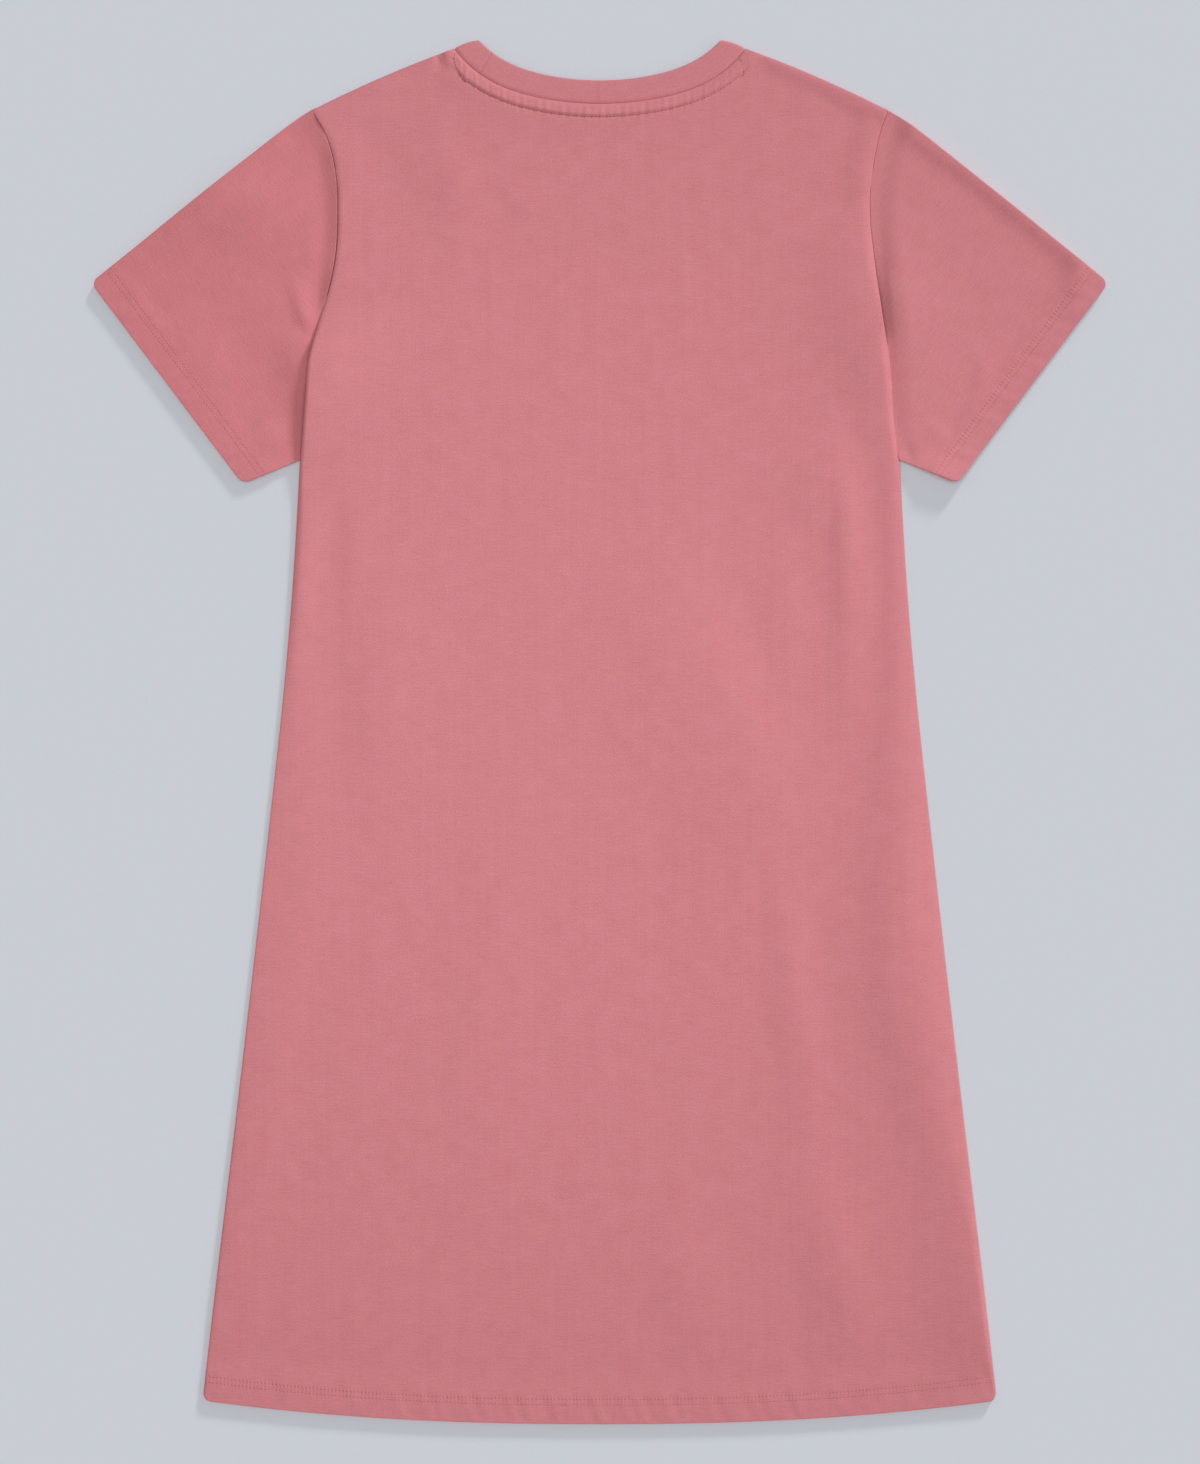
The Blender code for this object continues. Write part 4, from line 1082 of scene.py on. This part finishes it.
def make_sleeve(name, side, back_name):
    cut = SleeveCut(back_name)
    there = [(0.0, angle) for angle in TUBE_ROLL] + [(share, np.nan) for share in SLEEVE_SHARES]
    there += [(1.0, angle) for angle in reversed(TUBE_ROLL)]
    start_w, angle = np.array(there + there[-2:0:-1]).T  # up the upper layer, down the lower one
    upper = np.arange(len(start_w)) < len(there)
    angled = ~np.isnan(angle)
    length = cut.length(upper, start_w)
    surfaces = []
    for outer in (True, False):
        gap, end_sine = sleeve_rows(length, outer)
        layers = thickness(gap)
        inside = 0.0 if outer else layers
        width = cut.width(upper, gap / length)
        plain = np.minimum(start_w, 1 - start_w) * width
        side_gap = np.where(angled, rolled(SLEEVE_ROLL, layers, angle, outer), plain)
        turn = np.where(angled, np.sin(np.radians(angle)), 1.0)
        new_side, new_gap = rounded(side_gap, gap)
        w = np.where(start_w < 0.5, new_side / width, 1 - new_side / width)
        x, y = cut.point(upper, w, new_gap / length)
        layer_y = between(UNDERARM_Y, TIP_Y, w)
        full = sleeve_height(side * x, y, name, (1 - w) * width, layer_y, gap, length - gap)
        widest = WIDEST * full
        z = widest + np.where(upper, full - widest - inside, inside - widest) * turn
        sink = SLEEVE_LIE[name][3] if outer else 1.0
        end_base = np.where(upper, full - sink * layers, layers)
        z = np.where(angled, z, between(end_base, z, end_sine))
        if outer:
            z = z + np.where(upper, -needle_rows(gap), under_rows(gap)) * turn
        surfaces.append(np.dstack([side * x, y, z]))
    high, low = surfaces
    high[..., 2], low[..., 2] = blunted(high[..., 2], low[..., 2], gap)
    px, py = side * high[..., 0], high[..., 1]
    flat = np.dstack([GRAIN[1] * px - GRAIN[0] * py, GRAIN[0] * px + GRAIN[1] * py])
    return cloth_shell(f"{name}_sleeve", high, low, flat, wrap=True)


SIDES = {"left": (-1, "back_left"), "right": (1, "back_right")}
sleeves = {name: make_sleeve(name, *side) for name, side in SIDES.items()}

# %% [markdown]
# ## The neck band
#
# The band is a strip folded along its length, joined into a ring and sewn to the neck by both raw
# edges. A curve with a bevel would make a rope of one width. So the ring is modelled from sections: a
# flat rounded one is carried round the back neck, turned over at the shoulder and carried on round the
# deeper front neck, always as wide as the gap between the band's two lines. Its own joining seam shows
# as a short slanting line near the left shoulder.

# %% Band section and path
BAND_WIDTH = 0.017
BAND_LOW = 0.0020
BAND_HIGH = 0.0043
TAPE_LOW = 0.0023
BAND_CORNER_BULGE = 0.0010
BAND_CROWN = 0.00015
VALLEY = (0.30, 0.10)  # how much the band thins at its seam, and over what share of its width
FOLD_REACH = 0.06
JOIN_SEAM = np.array([(-0.0853, 0.4600), (-0.0768, 0.4742)])
JOIN_SEAM_DIP = 0.0006
JOIN_SEAM_HALF = 0.0005
BAND_TURNS = range(90, -91, -15)
BAND_ACROSS = np.concatenate([[0.0, 0.02, 0.05, 0.10], np.linspace(0.18, 0.90, 9), [1 - FOLD_REACH]])
FOLD_TURNS = np.linspace(90, -90, 9)[1:-1]
BAND_SIDE = np.concatenate([
    np.linspace(0.0, 0.75, 36), np.linspace(0.76, 0.95, 32), [0.962, 0.975],
])


def band_section():
    """Share from seam to free edge, and share from inside to outside, round the section."""
    deep, reach = VALLEY
    valley = 1 - deep * (1 - ease(0.0, reach, BAND_ACROSS))
    turn = np.radians(FOLD_TURNS)
    fold = np.column_stack([1 - FOLD_REACH + FOLD_REACH * np.cos(turn), 0.5 + 0.5 * np.sin(turn)])
    bottom = np.column_stack([BAND_ACROSS[::-1], 1 - valley[::-1]])
    return np.concatenate([np.column_stack([BAND_ACROSS, valley]), fold, bottom])


def band_ends(half, share, side):
    """Seam and free-edge points of one half of the band."""
    seam = neck_point(f"{half}_seam", side * share * NECK_HALF, SEAM_GAP)
    return seam, neck_point(f"{half}_edge", side * share * BAND_HALF, 0.0)


def band_ring(half, share, side, section):
    seam, free = band_ends(half, share, side)
    plan = between(seam, free, section[:, :1])
    levels = (TAPE_LOW, BAND_HIGH) if half == "back" else (BAND_LOW, 0.0)
    z = between(*levels, section[:, 1])
    if half == "back":
        a, b = JOIN_SEAM
        way = (b - a) / np.hypot(*(b - a))
        off = (plan[:, 0] - a[0]) * way[1] - (plan[:, 1] - a[1]) * way[0]
        crown = BAND_CROWN * np.sin(np.pi * section[:, 0]) - JOIN_SEAM_DIP * bump(off, JOIN_SEAM_HALF)
        z = z + crown * (section[:, 1] > 0.5)
    return np.column_stack([plan, z])


# %% Band piece


def band_corner(side, across):
    """The fold line of the band at a shoulder, from the seam to the free edge."""
    seam = neck_point("back_seam", side * NECK_HALF, SEAM_GAP)
    free = np.array([side * BAND_HALF, TOP_Y])
    bulge = np.outer(np.sin(np.pi * across), [0.0, BAND_CORNER_BULGE])
    return between(seam, free, across[:, None]) + bulge


def band_turn(side, angle, section):
    """The section part of the way over at a shoulder."""
    middle = BAND_HIGH / 2
    turn = np.radians(angle)
    corner = band_corner(side, section[:, 0])
    ways = []
    for half in ("back", "front"):
        seam, free = band_ends(half, BAND_SIDE[-1], side)
        leave = between(seam, free, section[:, :1]) - corner
        ways.append(leave / np.hypot(*leave.T)[:, None])
    blend = (np.sin(turn) + 1) / 2
    inward = blend * ways[0] + (1 - blend) * ways[1]
    radius = middle - BAND_LOW + section[:, 1] * BAND_LOW
    plan = corner + inward * (middle - radius * np.cos(turn))[:, None]
    return np.column_stack([plan, middle + radius * np.sin(turn)])


def make_band():
    section = band_section()
    rings = [band_ring("back", share, 1, section) for share in BAND_SIDE]
    rings += [band_turn(1, angle, section) for angle in BAND_TURNS]
    rings += [band_ring("front", share, 1, section) for share in BAND_SIDE[::-1]]
    rings += [band_ring("front", share, -1, section) for share in BAND_SIDE[1:]]
    rings += [band_turn(-1, -angle, section) for angle in BAND_TURNS]
    rings += [band_ring("back", share, -1, section) for share in BAND_SIDE[:0:-1]]
    points = np.array(rings)
    shape = points.shape[:2]
    index = np.pad(np.arange(shape[0] * shape[1]).reshape(shape), ((0, 1), (0, 1)), mode="wrap")
    run = run_along(points.mean(axis=1))
    flat = np.dstack(np.broadcast_arrays(run[:, None], section[None, :, 0] * BAND_WIDTH))
    return make_cloth("doubled_band", points.reshape(-1, 3), quads(index), flat.reshape(-1, 2))


band = make_band()

# %% [markdown]
# ## The neck tape
#
# A narrow strip covers the seam inside the back neck. It hides under the back in this view, and shows
# from the other side through the deeper front neck. It could be drawn on the back as a colour, but its
# edges stand proud, so it is a strip of its own. It follows the neck curve a little in from the seam,
# and dips where the topstitch holds it.

# %% Tape piece
TAPE_INSET = 0.0008
TAPE_WIDTH = 0.0092
TAPE_HALF = 0.0940
TAPE_COLUMNS = 111
TAPE_SHARES = np.array([0.0, 0.02, 0.06, 0.3, 0.6, 0.8, 0.87, 0.93, 0.98, 1.0])
TAPE_DIP = 0.4  # share of the back's relief that the tape follows
TAPE_EDGE = 0.0004  # over which the tape thins to half at its edges


def make_tape():
    x = np.linspace(-TAPE_HALF, TAPE_HALF, TAPE_COLUMNS)
    insets = (TAPE_INSET + TAPE_WIDTH * TAPE_SHARES)[::-1]
    plan = np.stack([neck_point("back_seam", x, -inset) for inset in insets])
    px, py = plan[..., 0], plan[..., 1]
    distance = line_place(px, py, NECK_LINE)[0]
    middle = TAPE_LOW + CLOTH / 2 + neck_relief(px, py, distance) * TAPE_DIP
    from_edge = np.minimum(insets - insets[-1], insets[0] - insets)
    half = CLOTH / 2 * (0.5 + 0.5 * np.clip(from_edge / TAPE_EDGE, 0, 1))[:, None]
    flat = np.dstack([np.broadcast_to(x, middle.shape), distance])
    upper, lower = (np.dstack([plan, middle + off]) for off in (half, -half))
    return cloth_shell("neck_tape_cloth", upper, lower, flat)


tape = make_tape()

# %% [markdown]
# ## Stitches
#
# A coverstitch machine sews the hems: two parallel rows on the outside, about ten stitches to the
# inch. A lockstitch row holds the neck tape. They could be a pattern in the finish, but a low lamp would
# show that nothing stands there. So each stitch is a real short thread that lies in its dip, laid on
# the finished cloth by dropping a ray onto it. The stitches of a hem are one mesh, because they are
# many small closed bodies that move together.

# %% Stitch tools
STITCH_PITCH = 0.0026
STITCH_LENGTH = 0.0021
THREAD = 0.00019  # radius
THREAD_SIDES = 6
THREAD_RAISED = 0.45  # how far a stitch's middle stands off the cloth, in its radius
# Along the stitch, its size there and how far its middle has sunk, in shares of length and radius.
STITCH_FORM = ((0.5, 0.30, -1.5), (0.42, 0.75, -0.5), (0.18, 1.0, 0.0))
RAY_START, RAY_LENGTH = 0.05, 0.2


def thread_lozenge():
    """Points and faces of one stitch along +X, a unit long and a unit thick."""
    form = [(-a, s, d) for a, s, d in STITCH_FORM] + [*STITCH_FORM[::-1]]
    turns = np.arange(THREAD_SIDES) * 2 * np.pi / THREAD_SIDES
    points = np.array([(a, s * np.cos(t), s * np.sin(t) + d) for a, s, d in form for t in turns])
    index = np.arange(len(points)).reshape(len(form), THREAD_SIDES)
    sides = quads(np.pad(index, ((0, 0), (0, 1)), mode="wrap"))
    return points, [*sides.tolist(), index[0, ::-1].tolist(), index[-1].tolist()]


def lay_stitches(name, cloth, rows, above=True):
    """One mesh of stitches along rows of plan points, laid on a cloth piece."""
    mesh = cloth.data
    tree = BVHTree.FromPolygons([v.co for v in mesh.vertices], [p.vertices for p in mesh.polygons])
    unit, unit_faces = thread_lozenge()
    up = Vector((0, 0, 1.0 if above else -1.0))
    laid, faces = [], []
    for row in rows:
        for (x, y), (wx, wy) in zip(*even_points(row, STITCH_PITCH)):
            hit, normal, _, _ = tree.ray_cast(Vector((x, y, 0)) + up * RAY_START, -up, RAY_LENGTH)
            if hit is None:
                continue
            forward = Vector((wx, wy, 0))
            forward = (forward - normal * forward.dot(normal)).normalized()
            axes = [forward * STITCH_LENGTH, normal.cross(forward) * THREAD, normal * THREAD]
            start = len(laid) * len(unit)
            laid.append(unit @ np.array(axes) + np.array(hit + normal * THREAD * THREAD_RAISED))
            faces += [[start + k for k in face] for face in unit_faces]
    points = np.concatenate(laid)
    print(f"{name}: {len(laid)} stitches, lowest at {points[:, 2].min() * 1000:.2f} mm")
    return new_piece(name, points, faces)


# %% Hem, cuff and tape stitches
HEM_SHARES = np.linspace(0.004, 0.996, 400)  # the stitches stop short of the side seams
CUFF_SHARES = np.linspace(0.008, 0.992, 200)


def hem_line(panel, gap):
    """A line along a panel's hem, a gap above its folded edge."""
    hem, top = panel.limits(HEM_SHARES)
    return np.column_stack(panel.point(HEM_SHARES, gap / (top - hem)))


def cuff_line(side, back_name, above, gap):
    """A line along one layer of a cuff, a gap from its folded edge."""
    cut = SleeveCut(back_name)
    upper = np.full(CUFF_SHARES.shape, above)
    x, y = cut.point(upper, CUFF_SHARES, gap / cut.length(upper, CUFF_SHARES))
    return np.column_stack([side * x, y])


rows_of = {
    "hem_back_stitches": (back, [hem_line(BACK, gap) for gap in HEM_ROWS], True),
    "hem_front_stitches": (front, [hem_line(FRONT, gap) for gap in HEM_ROWS], False),
    "tape_stitches": (back, [TOPSTITCH_LINE], True),
}
for side_name, side in SIDES.items():
    for layer, above in (("upper", True), ("lower", False)):
        rows = [cuff_line(*side, above, gap) for gap in HEM_ROWS]
        rows_of[f"{side_name}_cuff_{layer}_stitches"] = (sleeves[side_name], rows, above)
stitches = {name: lay_stitches(name, *rest) for name, rest in rows_of.items()}

# %% [markdown]
# ## Jersey
#
# Plain jersey is knitted, not woven: columns of V-shaped loops, about 13 to the centimetre across and
# 18 up. The yarn is uneven, so the cloth shows short pale and dark slubs along the rows and faint
# streaks along the columns. Modelled loops would be more than a million to a dress, so they are a fine
# bump. The slubs and streaks are in the colour, and a little sheen stands for the fuzz that softens
# cotton at its edges. The stitches are twisted thread of the same yarn.

# %% Node helpers


class Graph:
    """Short calls for adding shader nodes to a material."""

    def __init__(self, name):
        self.material = bpy.data.materials.new(name)
        self.material.use_nodes = True
        self.tree = self.material.node_tree
        self.shader = self.tree.nodes["Principled BSDF"]

    def fill(self, node, sockets):
        """Links or sets each named socket of a node."""
        for socket, value in sockets:
            if isinstance(value, bpy.types.NodeSocket):
                self.tree.links.new(value, node.inputs[socket])
            else:
                node.inputs[socket].default_value = value

    def node(self, kind, sockets=(), **settings):
        node = self.tree.nodes.new(kind)
        for name, value in settings.items():
            setattr(node, name, value)
        self.fill(node, sockets)
        return node

    def math(self, operation, *values):
        return self.node("ShaderNodeMath", enumerate(values), operation=operation).outputs[0]

    def vector(self, operation, *values):
        return self.node("ShaderNodeVectorMath", enumerate(values), operation=operation).outputs[0]

    def noise(self, place, waves, detail):
        """Noise with so many waves to the metre along each axis."""
        sockets = [("Vector", self.vector("MULTIPLY", place, waves))]
        sockets += [("Scale", 1.0), ("Detail", detail), ("Roughness", 0.5)]
        return self.node("ShaderNodeTexNoise", sockets).outputs["Fac"]

    def mix(self, a, b, share):
        return self.node("ShaderNodeMix", [(6, a), (7, b), (0, share)], data_type="RGBA").outputs[2]

    def finish(self, base, bumps, plain):
        """Gives the shader its colour, bumps laid one on another, finest first, and plain values."""
        normal = []
        for height, strength, depth in bumps:
            sockets = [("Height", height), ("Strength", strength), ("Distance", depth), *normal]
            normal = [("Normal", self.node("ShaderNodeBump", sockets).outputs[0])]
        self.fill(self.shader, [("Base Color", base), *normal, *plain.items()])
        return self.material


# %% Knit and needle marks
WALE = 0.00078  # width of a column of loops
COURSE = 0.00056  # height of a row of loops
LOOP_SLANT = 1.5
LOOP_HEIGHT = (0.35, 0.65)  # of a loop's wave, and of the level it stands on
GUTTER = (5.0, 1.0, 0.4)  # slope beside the gap between two columns, its level top, and its rounding
MARK_HALF = 0.0013


def knit_height(g, across, up):
    """Columns of slanting loops with a gutter between them."""
    leg = g.math("PINGPONG", g.math("DIVIDE", across, WALE), 0.5)
    slant = g.math("ADD", g.math("DIVIDE", up, COURSE), g.math("MULTIPLY", leg, LOOP_SLANT))
    loop = g.math("SINE", g.math("MULTIPLY", slant, 2 * np.pi))
    slope, level, rounding = GUTTER
    gutter = g.math("SMOOTH_MIN", g.math("MULTIPLY", leg, slope), level, rounding)
    return g.math("MULTIPLY", g.math("MULTIPLY_ADD", loop, *LOOP_HEIGHT), gutter)


def body_hem_gap(g, across, up):
    """How far a point of the flat cut lies above the hem's curve."""
    out = g.math("POWER", g.math("DIVIDE", g.math("ABSOLUTE", across), HEM_HALF), HEM_POWER)
    return g.math("SUBTRACT", g.math("SUBTRACT", up, HEM_Y), g.math("MULTIPLY", out, HEM_RISE))


def cuff_line_gap(g, across, up):
    """How far a point of the flat cut lies from the cuff's straight line."""
    return g.math("SUBTRACT", GRAIN[0] * CUFF_LOW[0] + GRAIN[1] * CUFF_LOW[1], up)


def needle_marks(g, along, gap):
    """Dimples between the twin needle's rows, one to a stitch, from -1 to 1."""
    wave = g.math("SINE", g.math("MULTIPLY", along, 2 * np.pi / STITCH_PITCH))
    rows = []
    for row in HEM_ROWS:
        off = g.math("DIVIDE", g.math("SUBTRACT", gap, row), MARK_HALF)
        rows.append(g.math("EXPONENT", g.math("MULTIPLY", g.math("MULTIPLY", off, off), -1.0)))
    return g.math("MULTIPLY", wave, g.math("ADD", *rows))


# %% Jersey finish
ROSE = (0.701, 0.229, 0.256)
YARN = (
    # waves to the metre along and up, detail, share in the tone
    ((90.0, 1100.0, 0.0), 2.0, 0.30),  # slubs along the rows
    ((320.0, 7.0, 0.0), 2.0, 0.09),  # streaks along the columns
    ((70.0, 70.0, 0.0), 3.0, 0.21),  # mottling
    ((900.0, 900.0, 0.0), 1.0, 0.46),  # grain
)
YARN_SHIFT = (3.7, 1.9, 0.0)  # from one finish's noise to the next's
TONES = (0.30, 0.70)  # from the darkest tone to the palest
HEATHER = 0.16
HEATHER_TINT = (0.62, 1.0, 1.0)  # pale fibres are less pink, so red changes least
# The needle marks also set the colour by their relief. Their dimples are painted darker and the cloth
# between them paler, as painted shade and highlight.
MARK_PAINTED_SHADE = 0.024
KNIT_BUMP = (0.35, 0.00012)  # strength and depth
YARN_BUMP = (0.5, 0.0006)
MARK_BUMP = (1.0, 0.00007)
JERSEY = {
    "Roughness": 0.92, "Specular IOR Level": 0.25, "Sheen Weight": 0.18, "Sheen Roughness": 0.55,
    "Sheen Tint": (1.0, 0.80, 0.80, 1.0),
}


def tinted(colour, tint):
    return tuple(float(c * t) for c, t in zip(colour, tint))


def heather(colour, change):
    return (*tinted(colour, [1 + change * tint for tint in HEATHER_TINT]), 1.0)


def jersey(name, colour, seed, hem=None):
    """Knitted cotton that follows the flat cut, with needle marks in relief and in painted shade where a
    hem's gap is given.
    """
    g = Graph(name)
    cut = g.node("ShaderNodeUVMap", uv_map="cut").outputs[0]
    place = g.vector("ADD", cut, [seed * shift for shift in YARN_SHIFT])
    across, up, _ = g.node("ShaderNodeSeparateXYZ", [(0, cut)]).outputs
    tone = 0.0
    for waves_to_metre, detail, share in YARN:
        tone = g.math("MULTIPLY_ADD", g.noise(place, waves_to_metre, detail), share, tone)
    bumps = []
    if hem:
        marks = needle_marks(g, across, hem(g, across, up))
        # painted shade and highlight: the marks' dimples darker, their bulges paler
        tone = g.math("MULTIPLY_ADD", marks, MARK_PAINTED_SHADE, tone)
        bumps = [(marks, *MARK_BUMP)]
    bumps = [(knit_height(g, across, up), *KNIT_BUMP), (tone, *YARN_BUMP), *bumps]
    limits = zip(("Value", "From Min", "From Max"), (tone, *TONES))
    spread = g.node("ShaderNodeMapRange", limits).outputs[0]
    return g.finish(g.mix(heather(colour, -HEATHER), heather(colour, HEATHER), spread), bumps, JERSEY)


# %% Thread finish
TWIST = [("Scale", 420.0), ("Distortion", 1.0)]
TWIST_TONES = (0.80, 1.10)
TWIST_BUMP = (0.4, 0.0001)
THREAD_ROUGHNESS = 0.6


def tones(colour, factors):
    """A colour made darker or paler by each factor."""
    return [(*tinted(colour, [factor] * 3), 1.0) for factor in factors]


def thread_finish(name, colour):
    """Twisted thread: fine slanting stripes in tone and relief."""
    g = Graph(name)
    sockets = [("Vector", g.node("ShaderNodeTexCoord").outputs["Object"]), *TWIST]
    twist = g.node("ShaderNodeTexWave", sockets, bands_direction="DIAGONAL").outputs["Fac"]
    base = g.mix(*tones(colour, TWIST_TONES), twist)
    return g.finish(base, [(twist, *TWIST_BUMP)], {"Roughness": THREAD_ROUGHNESS})


# %% [markdown]
# ## Dressing the pieces
#
# Each piece gets its finish and is tied to the one body of the dress. The solid that a sheet of cloth
# stands for is hidden, and the lamps of the dress are told to light it. It could be done right after
# each piece is made, but one table shows the whole dress at a glance.

# %% Dress the pieces
finishes = {
    "body_jersey": jersey("body jersey", ROSE, 1, body_hem_gap),
    "sleeve_jersey": jersey("sleeve jersey", ROSE, 2, cuff_line_gap),
    "band_jersey": jersey("band jersey", tinted(ROSE, (1.0, 0.99, 1.0)), 3),
    "tape_jersey": jersey("tape jersey", ROSE, 4),
}
# The left sleeve's jersey is painted darker and less pink. This is painted shade, because that sleeve
# lies where less light falls.
left_rose_painted_shade = tinted(ROSE, (0.975, 0.905, 0.905))
left_sleeve_painted_shade = jersey("left sleeve jersey with painted shade", left_rose_painted_shade, 2, cuff_line_gap)
hem_thread = thread_finish("hem thread", ROSE)
# The tape's thread is darker and redder than the cloth. This is partly the thread's own deeper colour
# and partly painted shade that stands for the dark topstitch groove.
tape_thread_painted_shade = thread_finish("tape thread with painted shade", tinted(ROSE, (0.70, 0.42, 0.47)))
BODY_CUT = (0.556, 0.963)
SLEEVE_CUT = (0.490, 0.196)

cloth_pieces = (
    # piece, node it stands for, slot, flat cut, area, what it rests on, what is sewn to it
    (back, "back_panel", "body_jersey", BODY_CUT, 0.428, front, ["hem_back", "tape"]),
    (front, "front_panel", "body_jersey", BODY_CUT, 0.416, "floor", ["hem_front"]),
    (sleeves["left"], "sleeve_left", "sleeve_jersey", SLEEVE_CUT, 0.052, "floor",
     ["left_cuff_upper", "left_cuff_lower"]),
    (sleeves["right"], "sleeve_right", "sleeve_jersey", SLEEVE_CUT, 0.052, "floor",
     ["right_cuff_upper", "right_cuff_lower"]),
    (band, "neck_band", "band_jersey", (0.017, 0.530), None, "floor", []),
    (tape, "neck_tape", "tape_jersey", (0.0104, 0.210), None, back, []),
)


def dress(piece, finish):
    piece.data.materials.append(finish)
    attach(piece, "root")
    lit["dress"].objects.link(piece)


for piece, node, slot, flat, area, under, sewn in cloth_pieces:
    dress(piece, left_sleeve_painted_shade if node == "sleeve_left" else finishes[slot])
    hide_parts(node)
    sewn = [f"{name}_stitches" for name in sewn]
for name, piece in stitches.items():
    dress(piece, tape_thread_painted_shade if name == "tape_stitches" else hem_thread)
print("pieces:", len(cloth_pieces), "of cloth and", len(stitches), "of thread")

# %% [markdown]
# ## The table
#
# The table is a plain pale board. It could be a slab, but only its top is seen, so one large face is
# enough. It lies a little below the cloth so that the two don't fight for the same pixels. It isn't
# part of the dress.

# %% Table
TABLE = (0.696, 0.724, 0.784)
TABLE_HALF = 6.0
TABLE_Z = -0.0003
SPECKS = ((400.0, 400.0, 1.0), 2.0)  # waves to the metre, and detail
SPECK_TONES = (0.995, 1.005)
BOARD = {"Roughness": 0.9, "Specular IOR Level": 0.2}

corners = [(x * TABLE_HALF, y * TABLE_HALF, TABLE_Z) for x, y in ((-1, -1), (1, -1), (1, 1), (-1, 1))]
floor = new_piece("floor", np.array(corners), [(0, 1, 2, 3)])
floor.data.shade_flat()
lit["table"].objects.link(floor)
floor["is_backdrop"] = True
g = Graph("painted board")
speck = g.noise(g.node("ShaderNodeNewGeometry").outputs["Position"], *SPECKS)
floor.data.materials.append(g.finish(g.mix(*tones(TABLE, SPECK_TONES), speck), [], BOARD))

# %% [markdown]
# ## Sizes, and the end
#
# The finished dress has to fill the same space as the frame's solids, so both boxes are written down
# side by side.

# %% Sizes, and the end
made_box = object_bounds()
show_box("dress box", made_box)
